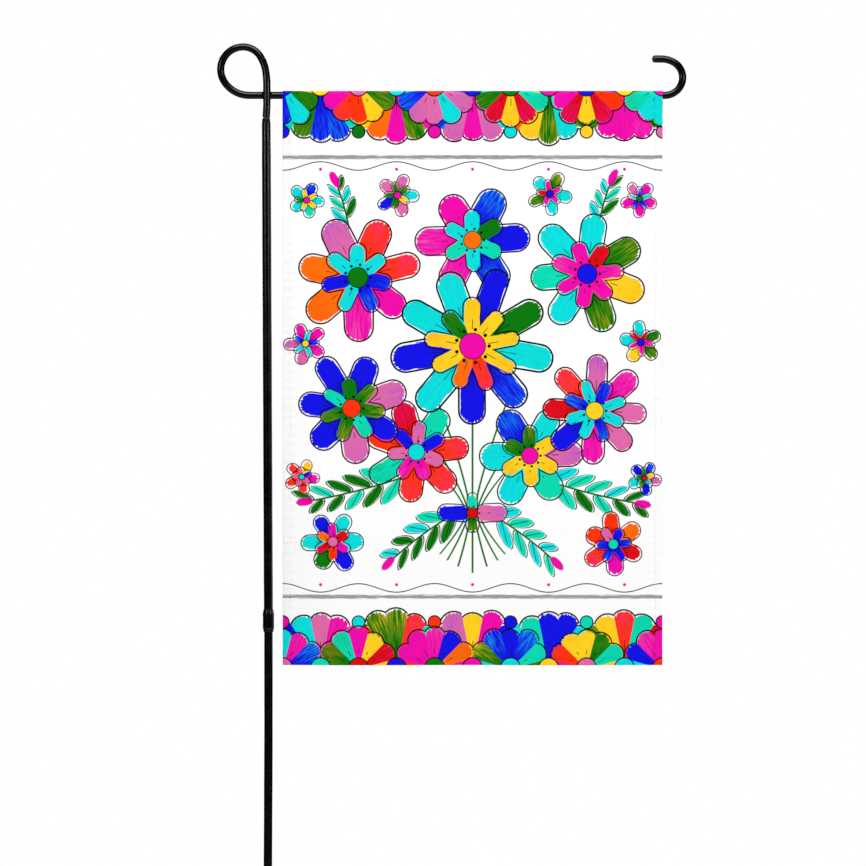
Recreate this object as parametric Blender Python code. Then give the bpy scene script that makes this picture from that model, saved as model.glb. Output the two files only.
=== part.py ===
"""Garden flag that hangs on a black metal flag stand.

+X is to the right as the flag is read, +Y to the back and +Z up. The origin is on the
pole's axis at ground level: the prongs below it are the part that is pushed into the soil.
All sizes are in metres.
"""

import math

import bmesh
import bpy
from mathutils import Vector

# Flag: 12 by 18 inches, with the length measured down from the arm's axis.
FLAG_WIDTH = 0.3048
FLAG_DROP = 0.4572
FLAG_LEFT = 0.0124
CLOTH_THICKNESS = 0.0012
POCKET_CLEARANCE = 0.0004
POCKET_DEPTH = 0.048
SEAM_ALLOWANCE = 0.008

# Bent rod of the hanger: short upright, loop, arm and end hook. Each bend is its radius, how
# many degrees it turns, and how many straight facets it is divided into.
ARM_HEIGHT = 0.737
ROD_DIAMETER = 0.006
CROSSING_GAP = 0.0003
UPRIGHT_BELOW_ARM = 0.0185
LOOP_BENDS = (
    (0.0715, 8.6, 2),
    (0.0324, 22.1, 3),
    (0.0166, 59.3, 7),
    (0.0179, 121.7, 15),
    (0.0237, 58.3, 7),
)
HOOK_START = 0.3190
HOOK_BENDS = (
    (0.01443, 68.7, 7),
    (0.0141, 82.1, 8),
    (0.0201, 29.2, 3),
)
HOOK_TAIL = 0.0075
WELD_HALF_WIDTH = 0.0043
WELD_HALF_DEPTH = 0.0036

# Pole in two lengths, joined by spigots in bores.
UPPER_POLE_DIAMETER = 0.0072
SOCKET_DIAMETER = 0.0070
SOCKET_LENGTH = 0.0250
LOWER_POLE_DIAMETER = 0.0068
EDGE_EASE = 0.0005
SPIGOT_DIAMETER = 0.0046
SPIGOT_LENGTH = 0.022
BORE_DIAMETER = 0.0052
BORE_DEPTH = 0.0225
COLLAR_HEIGHT = 0.3157
COLLAR_DIAMETER = 0.0090
COLLAR_STRAIGHT = 0.0120
COLLAR_TAPER = 0.0030

# Ground stake: two prongs and the flat bar that is stepped on.
PRONG_DEPTH = 0.135
PRONG_POINT = 0.028
POINT_DIAMETER = 0.0012
SIDE_PRONG_DIAMETER = 0.006
SIDE_PRONG_DISTANCE = 0.070
SIDE_PRONG_HEAD = 0.0075
STEP_WIDTH = 0.016
STEP_THICKNESS = 0.003

FIT_GAP = 0.0003

# Facets: sides of a round piece, and how finely a bend or the cloth is divided.
POLE_SIDES = 24
ROD_BEVEL_RESOLUTION = 6
CLOTH_COLUMNS = 28
CLOTH_ROWS = 20
POCKET_ROWS = 5
POCKET_ARC_STEPS = 10
SHARP_ANGLE = math.radians(35)

# Soft folds of the hanging panel. Columns: place across the width (0 left, 1 right), half width,
# how far the bottom hem stands back there (minus is forward), and where on the drop the fold
# begins (0 at the seam, 1 at the hem).
FOLDS = (
    (0.00, 0.048, 0.0030, 0.35),
    (0.22, 0.052, -0.0022, 0.10),
    (0.47, 0.060, 0.0026, 0.20),
    (0.73, 0.056, -0.0024, 0.05),
    (1.00, 0.044, 0.0020, 0.30),
)

# Round end of the hook: distance back from the end, and share of the rod's full radius there.
HOOK_END = (
    (0.0022, 1.00),
    (0.0014, 0.95),
    (0.0007, 0.80),
    (0.0002, 0.57),
    (0.0000, 0.36),
)

ROD_OFFSET = ROD_DIAMETER + CROSSING_GAP
SOCKET_TOP = ARM_HEIGHT - UPRIGHT_BELOW_ARM - FIT_GAP

# The two pole lengths lean a little against each other at the collar, and the lower one is
# slightly bowed. Each point is a height and how far the pole's axis stands to the right there;
# it runs straight between them.
POLE_LEAN = (
    (0.0, 0.0),
    (0.130, 0.0009),
    (0.220, 0.0013),
    (COLLAR_HEIGHT, 0.0013),
    (SOCKET_TOP, -0.0005),
    (SOCKET_TOP + 0.010, 0.0),
)


def clear_scene():
    """Removes what the file opened with."""
    for item in list(bpy.data.objects):
        bpy.data.objects.remove(item, do_unlink=True)


def make_material(name, colour, roughness, metallic):
    """Returns a Principled material."""
    material = bpy.data.materials.new(name)
    material.use_nodes = True
    shader = material.node_tree.nodes["Principled BSDF"]
    shader.inputs["Base Color"].default_value = (*colour, 1.0)
    shader.inputs["Roughness"].default_value = roughness
    shader.inputs["Metallic"].default_value = metallic
    return material


def add_piece(name, mesh, material, parent):
    """Links one named piece to the scene, shaded smooth between its real edges."""
    mesh.name = name
    mesh.shade_smooth()
    mesh.set_sharp_from_angle(angle=SHARP_ANGLE)
    mesh.materials.clear()
    mesh.materials.append(material)
    piece = bpy.data.objects.new(name, mesh)
    piece.parent = parent
    bpy.context.scene.collection.objects.link(piece)
    return piece


def mesh_from(builder, name):
    """Turns a bmesh into a mesh with its faces pointing out."""
    bmesh.ops.recalc_face_normals(builder, faces=builder.faces)
    mesh = bpy.data.meshes.new(name)
    builder.to_mesh(mesh)
    builder.free()
    return mesh


def turned_mesh(name, profile, closed=False, sides=POLE_SIDES):
    """Spins a profile of (radius, height) pairs once round the Z axis."""
    builder = bmesh.new()
    points = [builder.verts.new((radius, 0.0, height)) for radius, height in profile]
    pairs = list(zip(points, points[1:]))
    if closed:
        pairs.append((points[-1], points[0]))
    edges = [builder.edges.new(pair) for pair in pairs]
    bmesh.ops.spin(
        builder,
        geom=points + edges,
        cent=(0.0, 0.0, 0.0),
        axis=(0.0, 0.0, 1.0),
        angle=math.tau,
        steps=sides,
        use_merge=True,
    )
    bmesh.ops.remove_doubles(builder, verts=builder.verts, dist=1e-7)
    return mesh_from(builder, name)


def smooth_step(share):
    """Eases 0 to 1 with a level start and end."""
    share = min(max(share, 0.0), 1.0)
    return share * share * (3.0 - 2.0 * share)


def lean_at(z):
    """How far the pole's axis stands to the right at a height."""
    for (low, left), (high, right) in zip(POLE_LEAN, POLE_LEAN[1:]):
        if low <= z <= high:
            return left + (right - left) * (z - low) / (high - low)
    return 0.0


def lean_over(mesh):
    """Moves each level of a piece of the pole onto the leaning axis."""
    for point in mesh.vertices:
        point.co.x += lean_at(point.co.z)
    return mesh


def follow_bends(heading, bends):
    """Points (x, z) of a line that starts at zero with a heading and takes each bend in turn."""
    x, z = 0.0, 0.0
    places = [(x, z)]
    for radius, degrees, steps in bends:
        half = 0.5 * math.radians(degrees) / steps
        for _ in range(steps):
            heading += half
            x += 2.0 * radius * math.sin(half) * math.cos(heading)
            z += 2.0 * radius * math.sin(half) * math.sin(heading)
            heading += half
            places.append((x, z))
    return places


def loop_route():
    """The loop's centre line from the upright, over and down the left, to the arm.

    The rod moves back by one diameter along it, so that the arm passes behind the upright.
    """
    flat = follow_bends(0.5 * math.pi, LOOP_BENDS)
    foot = ARM_HEIGHT - flat[-1][1]
    lengths = [math.dist(start, end) for start, end in zip(flat, flat[1:])]
    route = []
    for index, (x, z) in enumerate(flat):
        share = sum(lengths[:index]) / sum(lengths)
        route.append(Vector((x, ROD_OFFSET * smooth_step(share), foot + z)))
    return route


def hook_route():
    """The hook's centre line from the arm's right end to the start of its straight tail."""
    return [
        Vector((HOOK_START + x, ROD_OFFSET, ARM_HEIGHT + z))
        for x, z in follow_bends(0.0, HOOK_BENDS)
    ]


def hanger_route():
    """Centre-line points of the whole hanger, each with its share of the full radius."""
    foot = ARM_HEIGHT - UPRIGHT_BELOW_ARM
    slim = SPIGOT_DIAMETER / ROD_DIAMETER
    upright = (
        (foot - SPIGOT_LENGTH, slim),
        (foot, slim),
        (foot + FIT_GAP, 1.0),
        (POLE_LEAN[-1][0], 1.0),
    )
    route = [(Vector((lean_at(z), 0.0, z)), share) for z, share in upright]
    bends = loop_route() + hook_route()
    route += [(point, 1.0) for point in bends]
    end = bends[-1] - Vector((HOOK_TAIL, 0.0, 0.0))
    route += [(end + Vector((back, 0.0, 0.0)), share) for back, share in HOOK_END]
    return route


def swept_rod(name, route):
    """Sweeps the round rod along its route, as a closed mesh."""
    curve = bpy.data.curves.new(name, "CURVE")
    curve.dimensions = "3D"
    curve.bevel_depth = 0.5 * ROD_DIAMETER
    curve.bevel_resolution = ROD_BEVEL_RESOLUTION
    curve.use_fill_caps = True
    spline = curve.splines.new("POLY")
    spline.points.add(len(route) - 1)
    for point, (place, share) in zip(spline.points, route):
        point.co = (*place, 1.0)
        point.radius = share
    guide = bpy.data.objects.new(name + "_route", curve)
    bpy.context.scene.collection.objects.link(guide)
    builder = bmesh.new()
    builder.from_mesh(bpy.data.meshes.new_from_object(guide))
    bpy.data.objects.remove(guide, do_unlink=True)
    bmesh.ops.remove_doubles(builder, verts=builder.verts, dist=1e-7)
    return mesh_from(builder, name)


def weld_bead():
    """The bead that joins the arm to the upright, as a cutter object for the union."""
    builder = bmesh.new()
    bmesh.ops.create_icosphere(builder, subdivisions=2, radius=1.0)
    bmesh.ops.scale(
        builder,
        vec=(WELD_HALF_WIDTH, WELD_HALF_DEPTH, WELD_HALF_WIDTH),
        verts=builder.verts,
    )
    bmesh.ops.translate(
        builder, vec=(0.0, 0.5 * ROD_OFFSET, ARM_HEIGHT), verts=builder.verts
    )
    bead = bpy.data.objects.new("weld_bead_guide", mesh_from(builder, "weld_bead_guide"))
    bead.hide_render = True
    bead.display_type = "WIRE"
    bpy.context.scene.collection.objects.link(bead)
    return bead


def build_hanger(steel, parent):
    """Loop, arm and hook: one bent rod, welded to itself where the arm crosses the upright."""
    rod = bpy.data.objects.new("hanger_rod", swept_rod("hanger_rod", hanger_route()))
    bpy.context.scene.collection.objects.link(rod)
    bead = weld_bead()
    union = rod.modifiers.new("weld", "BOOLEAN")
    union.operation = "UNION"
    union.solver = "EXACT"
    union.object = bead
    scene_state = bpy.context.evaluated_depsgraph_get()
    welded = bpy.data.meshes.new_from_object(rod.evaluated_get(scene_state))
    for used in (rod, bead):
        bpy.data.objects.remove(used, do_unlink=True)
    return add_piece("hanger", welded, steel, parent)


def build_upper_pole(steel, parent):
    """Upper pole length: a bore at each end, and a slightly drawn-in socket at the top."""
    outer = 0.5 * UPPER_POLE_DIAMETER
    socket = 0.5 * SOCKET_DIAMETER
    bore = 0.5 * BORE_DIAMETER
    bottom = COLLAR_HEIGHT + 0.5 * FIT_GAP
    socket_end = SOCKET_TOP - SOCKET_LENGTH
    profile = [
        (0.0, SOCKET_TOP - BORE_DEPTH),
        (bore, SOCKET_TOP - BORE_DEPTH),
        (bore, SOCKET_TOP),
        (socket - EDGE_EASE, SOCKET_TOP),
        (socket, SOCKET_TOP - 1.5 * EDGE_EASE),
        (socket, socket_end + EDGE_EASE),
        (outer, socket_end),
        (outer, bottom),
        (bore, bottom),
        (bore, bottom + BORE_DEPTH),
        (0.0, bottom + BORE_DEPTH),
    ]
    mesh = lean_over(turned_mesh("pole_upper", profile))
    return add_piece("pole_upper", mesh, steel, parent)


def build_collar(steel, parent):
    """Coupling sleeve round the joint of the two pole lengths, tapered at both ends."""
    inner = 0.5 * UPPER_POLE_DIAMETER + FIT_GAP
    lip = inner + FIT_GAP
    outer = 0.5 * COLLAR_DIAMETER
    straight = 0.5 * COLLAR_STRAIGHT
    reach = straight + COLLAR_TAPER
    profile = [
        (inner, COLLAR_HEIGHT + reach),
        (lip, COLLAR_HEIGHT + reach),
        (outer, COLLAR_HEIGHT + straight),
        (outer, COLLAR_HEIGHT - straight),
        (lip, COLLAR_HEIGHT - reach),
        (inner, COLLAR_HEIGHT - reach),
    ]
    mesh = lean_over(turned_mesh("collar", profile, closed=True))
    return add_piece("collar", mesh, steel, parent)


def prong_profile(radius, top):
    """Outer side of a prong from its upper edge to the blunt point in the soil."""
    point = 0.5 * POINT_DIAMETER
    return [
        (radius - EDGE_EASE, top),
        (radius, top - EDGE_EASE),
        (radius, -PRONG_DEPTH + PRONG_POINT),
        (point, -PRONG_DEPTH + point),
        (0.5 * point, -PRONG_DEPTH),
        (0.0, -PRONG_DEPTH),
    ]


def build_lower_pole(steel, parent):
    """Lower pole length: a spigot at its top and a prong's point at its foot.

    It has a ring of points at each height where its axis bends.
    """
    outer = 0.5 * LOWER_POLE_DIAMETER
    spigot = 0.5 * SPIGOT_DIAMETER
    top = COLLAR_HEIGHT - 0.5 * FIT_GAP
    profile = [
        (0.0, top + SPIGOT_LENGTH),
        (spigot - EDGE_EASE, top + SPIGOT_LENGTH),
        (spigot, top + SPIGOT_LENGTH - EDGE_EASE),
        (spigot, top),
    ]
    bends = [(outer, height) for height, _ in POLE_LEAN if height < top]
    prong = prong_profile(outer, top)
    profile += prong[:2] + bends[::-1] + prong[2:]
    mesh = lean_over(turned_mesh("pole_lower", profile))
    return add_piece("pole_lower", mesh, steel, parent)


def build_side_prong(steel, parent):
    """Second prong, beside the pole, with its head just above the step plate."""
    radius = 0.5 * SIDE_PRONG_DIAMETER
    profile = [(0.0, SIDE_PRONG_HEAD)] + prong_profile(radius, SIDE_PRONG_HEAD)
    prong = add_piece("side_prong", turned_mesh("side_prong", profile), steel, parent)
    prong.location.x = SIDE_PRONG_DISTANCE
    return prong


def round_cutter(name, radius, x):
    """A hidden upright cylinder that cuts a hole through the step plate."""
    builder = bmesh.new()
    bmesh.ops.create_cone(
        builder,
        cap_ends=True,
        segments=POLE_SIDES,
        radius1=radius,
        radius2=radius,
        depth=4.0 * STEP_THICKNESS,
    )
    cutter = bpy.data.objects.new(name, mesh_from(builder, name))
    cutter.location = (x, 0.0, 0.5 * STEP_THICKNESS)
    cutter.hide_render = True
    cutter.display_type = "WIRE"
    bpy.context.scene.collection.objects.link(cutter)
    return cutter


def build_step_plate(steel, parent):
    """Flat bar with round ends that lies on the ground, with a hole for each prong."""
    half_width = 0.5 * STEP_WIDTH
    half_turn = POLE_SIDES // 2
    builder = bmesh.new()
    rim = []
    for centre, start in ((SIDE_PRONG_DISTANCE, -0.5 * math.pi), (0.0, 0.5 * math.pi)):
        for step in range(half_turn + 1):
            turn = start + math.pi * step / half_turn
            place = (
                centre + half_width * math.cos(turn),
                half_width * math.sin(turn),
                0.0,
            )
            rim.append(builder.verts.new(place))
    face = builder.faces.new(rim)
    raised = bmesh.ops.extrude_face_region(builder, geom=[face])["geom"]
    moved = [item for item in raised if isinstance(item, bmesh.types.BMVert)]
    bmesh.ops.translate(builder, vec=(0.0, 0.0, STEP_THICKNESS), verts=moved)
    plate = bpy.data.objects.new("step_bar", mesh_from(builder, "step_bar"))
    bpy.context.scene.collection.objects.link(plate)
    cutters = [
        round_cutter("pole_hole", 0.5 * LOWER_POLE_DIAMETER + FIT_GAP, 0.0),
        round_cutter(
            "prong_hole", 0.5 * SIDE_PRONG_DIAMETER + FIT_GAP, SIDE_PRONG_DISTANCE
        ),
    ]
    for cutter in cutters:
        cut = plate.modifiers.new(cutter.name, "BOOLEAN")
        cut.operation = "DIFFERENCE"
        cut.solver = "EXACT"
        cut.object = cutter
    scene_state = bpy.context.evaluated_depsgraph_get()
    drilled = bpy.data.meshes.new_from_object(plate.evaluated_get(scene_state))
    for used in (plate, *cutters):
        bpy.data.objects.remove(used, do_unlink=True)
    return add_piece("step_bar", drilled, steel, parent)


def pocket_sections():
    """Inner and outer points (y, z) of the rod pocket, from the seam's front over the arm.

    Heights are from the arm's axis. The first and last inner points are the same apex,
    where the two layers meet at the seam.
    """
    inner_radius = 0.5 * ROD_DIAMETER + POCKET_CLEARANCE
    outer_radius = inner_radius + CLOTH_THICKNESS
    lean = math.asin(inner_radius / POCKET_DEPTH)

    def side(sign, radius, seam_y):
        tangent_y = sign * radius * math.cos(lean)
        tangent_z = -radius * math.sin(lean)
        for row in range(POCKET_ROWS):
            share = row / POCKET_ROWS
            yield (
                seam_y + (tangent_y - seam_y) * share,
                -POCKET_DEPTH + (tangent_z + POCKET_DEPTH) * share,
            )

    def arc(radius):
        for step in range(POCKET_ARC_STEPS + 1):
            turn = math.pi + lean - (math.pi + 2.0 * lean) * step / POCKET_ARC_STEPS
            yield (radius * math.cos(turn), radius * math.sin(turn))

    def outline(radius, seam_y):
        front = list(side(-1.0, radius, -seam_y))
        back = list(side(1.0, radius, seam_y))
        return front + list(arc(radius)) + back[::-1]

    return outline(inner_radius, 0.0), outline(outer_radius, CLOTH_THICKNESS)


def add_cloth_section(builder):
    """Draws the cloth's section at its left edge."""

    def vert(y, z):
        return builder.verts.new((FLAG_LEFT, ROD_OFFSET + y, ARM_HEIGHT + z))

    inner_points, outer_points = pocket_sections()
    outer = [vert(*place) for place in outer_points]
    inner = [vert(*place) for place in inner_points[:-1]]
    inner.append(inner[0])
    last = len(outer) - 1
    for index in range(last):
        corners = [outer[index], outer[index + 1], inner[index + 1], inner[index]]
        builder.faces.new(corners)

    apex = inner[0]
    allowance_z = -POCKET_DEPTH - SEAM_ALLOWANCE
    panel_rows = [allowance_z]
    for row in range(1, CLOTH_ROWS + 1):
        panel_rows.append(allowance_z + (allowance_z + FLAG_DROP) * -row / CLOTH_ROWS)
    front, middle = outer[0], apex
    for row, z in enumerate(panel_rows):
        next_front, next_middle = vert(-CLOTH_THICKNESS, z), vert(0.0, z)
        builder.faces.new([front, middle, next_middle, next_front])
        if row == 0:
            next_back = vert(CLOTH_THICKNESS, z)
            builder.faces.new([middle, outer[last], next_back, next_middle])
        front, middle = next_front, next_middle


def fold_depth(x, z):
    """How far the hanging panel stands back (plus) or forward (minus) at a point."""
    across = (x - FLAG_LEFT) / FLAG_WIDTH
    seam = ARM_HEIGHT - POCKET_DEPTH
    down = (seam - z) / (FLAG_DROP - POCKET_DEPTH)
    depth = 0.0
    for place, half_width, hem_depth, begins in FOLDS:
        aside = min(abs(across - place) * FLAG_WIDTH / half_width, 1.0)
        crest = 0.5 + 0.5 * math.cos(math.pi * aside)
        depth += hem_depth * crest * smooth_step((down - begins) / (1.0 - begins))
    return depth


def build_flag(cloth, parent):
    """The one-piece cloth: front panel, rod pocket over the arm and its sewn-down edge."""
    builder = bmesh.new()
    add_cloth_section(builder)
    pitch = FLAG_WIDTH / CLOTH_COLUMNS
    section = [*builder.verts, *builder.edges, *builder.faces]
    for _ in range(CLOTH_COLUMNS):
        section = bmesh.ops.extrude_face_region(builder, geom=section)["geom"]
        moved = [item for item in section if isinstance(item, bmesh.types.BMVert)]
        bmesh.ops.translate(builder, vec=(pitch, 0.0, 0.0), verts=moved)
    for point in builder.verts:
        point.co.y += fold_depth(point.co.x, point.co.z)
    return add_piece("flag_cloth", mesh_from(builder, "flag_cloth"), cloth, parent)


def main():
    """Builds the flag and its stand."""
    clear_scene()
    stand = bpy.data.objects.new("flag_stand", None)
    bpy.context.scene.collection.objects.link(stand)
    steel = make_material("black_coated_steel", (0.012, 0.012, 0.013), 0.42, 0.6)
    cloth = make_material("printed_polyester", (0.86, 0.86, 0.85), 0.75, 0.0)
    build_flag(cloth, stand)
    build_hanger(steel, stand)
    build_upper_pole(steel, stand)
    build_collar(steel, stand)
    build_lower_pole(steel, stand)
    build_step_plate(steel, stand)
    build_side_prong(steel, stand)


main()
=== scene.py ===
"""Looks of a printed garden flag that hangs on a black bent-rod stand.

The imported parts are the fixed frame. Around them this file builds the sewn cloth with its print,
the thread of its seams, and the coated steel rods, and it lights them in a plain white studio.
Sizes are in metres unless a name says millimetres. +X is to the right as the flag is read, +Y to
the back and +Z up.
"""

import logging
import math
from dataclasses import dataclass, field
from enum import Enum
from typing import Sequence, Union

import bpy
import numpy as np
from mathutils import Matrix, Vector


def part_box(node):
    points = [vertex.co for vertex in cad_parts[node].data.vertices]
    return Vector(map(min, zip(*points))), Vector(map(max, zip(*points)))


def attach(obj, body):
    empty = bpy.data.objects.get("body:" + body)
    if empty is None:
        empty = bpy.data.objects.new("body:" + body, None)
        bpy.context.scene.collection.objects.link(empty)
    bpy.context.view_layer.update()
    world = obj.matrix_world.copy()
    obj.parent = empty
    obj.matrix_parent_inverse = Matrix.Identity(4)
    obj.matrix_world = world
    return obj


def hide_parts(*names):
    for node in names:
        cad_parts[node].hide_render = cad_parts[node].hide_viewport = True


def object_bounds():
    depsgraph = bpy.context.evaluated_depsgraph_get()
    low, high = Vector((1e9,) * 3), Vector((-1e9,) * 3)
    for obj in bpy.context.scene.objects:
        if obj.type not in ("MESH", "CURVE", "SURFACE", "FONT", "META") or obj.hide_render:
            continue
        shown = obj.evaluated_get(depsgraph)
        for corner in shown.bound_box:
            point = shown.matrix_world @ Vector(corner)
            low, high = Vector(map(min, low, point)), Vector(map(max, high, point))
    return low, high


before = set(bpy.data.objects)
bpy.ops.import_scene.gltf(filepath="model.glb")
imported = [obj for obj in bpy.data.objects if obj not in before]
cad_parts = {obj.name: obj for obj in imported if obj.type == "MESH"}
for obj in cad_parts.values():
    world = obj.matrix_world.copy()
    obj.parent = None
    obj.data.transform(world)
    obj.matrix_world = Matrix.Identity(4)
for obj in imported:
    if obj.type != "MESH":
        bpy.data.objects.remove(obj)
CAD_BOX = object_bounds()

LOG = logging.getLogger("garden_flag")
BODY = "root"
MILLIMETRE = 0.001


# Node building: formulas written as arithmetic, and effects kept as node groups


@dataclass(frozen=True, eq=False)
class Term:
    """A number that changes over the surface, so that node formulas read as arithmetic."""

    board: "Board"
    socket: bpy.types.NodeSocket

    def __add__(self, other: "Number") -> "Term":
        """Sum."""
        return self.board.math("ADD", self, other)

    __radd__ = __add__

    def __sub__(self, other: "Number") -> "Term":
        """Difference."""
        return self.board.math("SUBTRACT", self, other)

    def __rsub__(self, other: "Number") -> "Term":
        """Difference from a plain number."""
        return self.board.math("SUBTRACT", other, self)

    def __mul__(self, other: "Number") -> "Term":
        """Product."""
        return self.board.math("MULTIPLY", self, other)

    __rmul__ = __mul__

    def __truediv__(self, other: "Number") -> "Term":
        """Quotient."""
        return self.board.math("DIVIDE", self, other)

    def __rtruediv__(self, other: "Number") -> "Term":
        """Quotient of a plain number by this one."""
        return self.board.math("DIVIDE", other, self)

    def __abs__(self) -> "Term":
        """Size without the sign."""
        return self.board.math("ABSOLUTE", self)

    def beyond(self, limit: "Number") -> "Term":
        """1 where this number is over a limit, and 0 elsewhere."""
        return self.board.math("GREATER_THAN", self, limit)

    def held(self, low: "Number", high: "Number") -> "Term":
        """This number, kept between two limits."""
        return self.board.math("MINIMUM", self.board.math("MAXIMUM", self, low), high)

    def between(self, low: float, high: float) -> "Term":
        """This share, stretched to run from low at 0 to high at 1."""
        return self * (high - low) + low

    def within(self, softness: float) -> "Term":
        """1 where this distance is negative and 0 where it is positive, with a soft edge."""
        return self.board.math("MULTIPLY_ADD", self, -1.0 / softness, 0.5, clamp=True)

    def eased(self, start: "Number", end: "Number") -> "Term":
        """Turns this number into a smooth step.

        Args:
            start: Where the step starts.
            end: Where it ends.

        Returns:
            0 before the start, 1 after the end and a share between them.
        """
        inputs = {"Value": self, "From Min": start, "From Max": end}
        made = self.board.node("ShaderNodeMapRange", inputs, interpolation_type="SMOOTHSTEP")
        return Term(self.board, made.outputs["Result"])

    def nearest_mark(self, pitch: "Number", shift: float = 0.0) -> tuple["Term", "Term"]:
        """Finds the nearest of marks that stand in an even row.

        Args:
            pitch: Distance from one mark to the next.
            shift: By how many pitches the row is moved back.

        Returns:
            The mark's number, and how far this place lies beyond it.
        """
        lane = self / pitch + shift
        number = self.board.math("ROUND", lane)
        return number, (lane - number) * pitch


@dataclass(frozen=True, eq=False)
class Spot:
    """A place or a colour that changes over the surface."""

    board: "Board"
    socket: bpy.types.NodeSocket

    def __sub__(self, other: "Value") -> "Spot":
        """Place seen from another one."""
        made = self.board.node("ShaderNodeVectorMath", {0: self, 1: other}, operation="SUBTRACT")
        return Spot(self.board, made.outputs["Vector"])

    def parts(self) -> tuple[Term, Term, Term]:
        """The three numbers in it."""
        made = self.board.node("ShaderNodeSeparateXYZ", {0: self})
        return tuple(Term(self.board, output) for output in made.outputs)

    def times(self, factor: "Number") -> "Spot":
        """Scaled by one number."""
        made = self.board.node("ShaderNodeVectorMath", {0: self, "Scale": factor}, operation="SCALE")
        return Spot(self.board, made.outputs["Vector"])


Number = Union[float, Term]
Value = Union[float, tuple, Term, Spot]
Inputs = dict[Union[int, str], Value]
Signals = dict[str, Union[Term, Spot]]


class Board:
    """Adds nodes to one node tree, and hands on what they put out."""

    def __init__(self, tree: bpy.types.NodeTree) -> None:
        """Starts on the tree of a material, a world or a group."""
        self.tree = tree

    def feed(self, node: bpy.types.Node, inputs: Inputs) -> None:
        """Links or sets a node's inputs.

        Args:
            node: The node.
            inputs: What they get, by name or number. A plain value is set on the input
                itself, and one that changes over the surface is linked to it.
        """
        for key, value in inputs.items():
            if isinstance(value, (Term, Spot)):
                self.tree.links.new(value.socket, node.inputs[key])
            else:
                node.inputs[key].default_value = value

    def node(self, kind: str, inputs: Inputs, **settings: object) -> bpy.types.Node:
        """Adds a node.

        Args:
            kind: Blender's name of the node type.
            inputs: What its inputs get, by name or number.
            **settings: Values of the node's own properties.

        Returns:
            The new node.
        """
        made = self.tree.nodes.new(kind)
        for name, value in settings.items():
            setattr(made, name, value)
        self.feed(made, inputs)
        return made

    def math(self, operation: str, *values: Number, clamp: bool = False) -> Term:
        """One of Blender's operations on numbers, its result kept from 0 to 1 if clamped."""
        inputs, settings = dict(enumerate(values)), {"operation": operation, "use_clamp": clamp}
        return Term(self, self.node("ShaderNodeMath", inputs, **settings).outputs[0])

    def most(self, first: Number, *others: Number) -> Term:
        """The largest of several numbers, or all that any of several masks covers.

        Args:
            first: A number or mask.
            *others: The rest of them.

        Returns:
            The largest.
        """
        for other in others:
            first = self.math("MAXIMUM", first, other)
        return first

    def length(self, x: Number, y: Number) -> Term:
        """Distance from zero of a place on the surface."""
        made = self.node("ShaderNodeVectorMath", {0: self.spot(x, y)}, operation="LENGTH")
        return Term(self, made.outputs["Value"])

    def spot(self, x: Number, y: Number, z: Number = 0.0) -> Spot:
        """A place made of three numbers."""
        return Spot(self, self.node("ShaderNodeCombineXYZ", {0: x, 1: y, 2: z}).outputs[0])

    def mix(self, share: Number, first: Value, second: Value) -> Spot:
        """Blend of two places or colours: the first at share 0 and the second at 1."""
        inputs, settings = {0: share, 4: first, 5: second}, {"data_type": "VECTOR"}
        return Spot(self, self.node("ShaderNodeMix", inputs, **settings).outputs[1])

    def over(self, drawn: Value, *layers: tuple[Number, Value]) -> Spot:
        """Lays colours over one another.

        Args:
            drawn: The lowest colour.
            *layers: Mask and colour of each one above it, in order.

        Returns:
            The colour that is seen.
        """
        for mask, colour in layers:
            drawn = self.mix(mask, drawn, colour)
        return drawn

    def noise(self, place: Spot, scale: float = 1.0, detail: float = 2.0) -> tuple[Term, Spot]:
        """Smooth noise: one number around 0.5, and three such numbers that differ."""
        made = self.node("ShaderNodeTexNoise", {"Vector": place, "Scale": scale, "Detail": detail})
        return Term(self, made.outputs[0]), Spot(self, made.outputs[1])

    def luck(self, first: Number, second: Number) -> Spot:
        """Three fixed random numbers from 0 to 1 for a pair of whole numbers."""
        inputs, settings = {"Vector": self.spot(first, second)}, {"noise_dimensions": "2D"}
        return Spot(self, self.node("ShaderNodeTexWhiteNoise", inputs, **settings).outputs["Color"])

    def attribute(self, name: str) -> tuple[Spot, Term]:
        """A mesh's own values, as a place and as a number."""
        made = self.node("ShaderNodeAttribute", {}, attribute_name=name)
        return Spot(self, made.outputs["Vector"]), Term(self, made.outputs["Fac"])

    def object_place(self) -> Spot:
        """Place on the piece in its own metres."""
        return Spot(self, self.node("ShaderNodeTexCoord", {}).outputs["Object"])

    def ray(self, kind: str) -> Term:
        """1 for rays of one kind, named as the Light Path node names it."""
        return Term(self, self.node("ShaderNodeLightPath", {}).outputs[kind])

    def bump(self, height: Term) -> Spot:
        """Normal of a surface with relief, its height in metres."""
        return Spot(self, self.node("ShaderNodeBump", {"Distance": 1.0, "Height": height}).outputs[0])

    def place(self, effect: type["Effect"], inputs: Inputs) -> Signals:
        """One effect's outputs by name, from its node group placed with these inputs."""
        made = self.node("ShaderNodeGroup", inputs, node_tree=effect.tree())
        return {name: port.wrap(self, made.outputs[name]) for name, port in effect.gives.items()}


class Port(Enum):
    """What a socket of an effect carries."""

    NUMBER = "NodeSocketFloat"
    PLACE = "NodeSocketVector"
    COLOUR = "NodeSocketColor"

    def wrap(self, board: Board, socket: bpy.types.NodeSocket) -> Union[Term, Spot]:
        """A socket of this kind, ready for formulas."""
        return Term(board, socket) if self is Port.NUMBER else Spot(board, socket)


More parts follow.
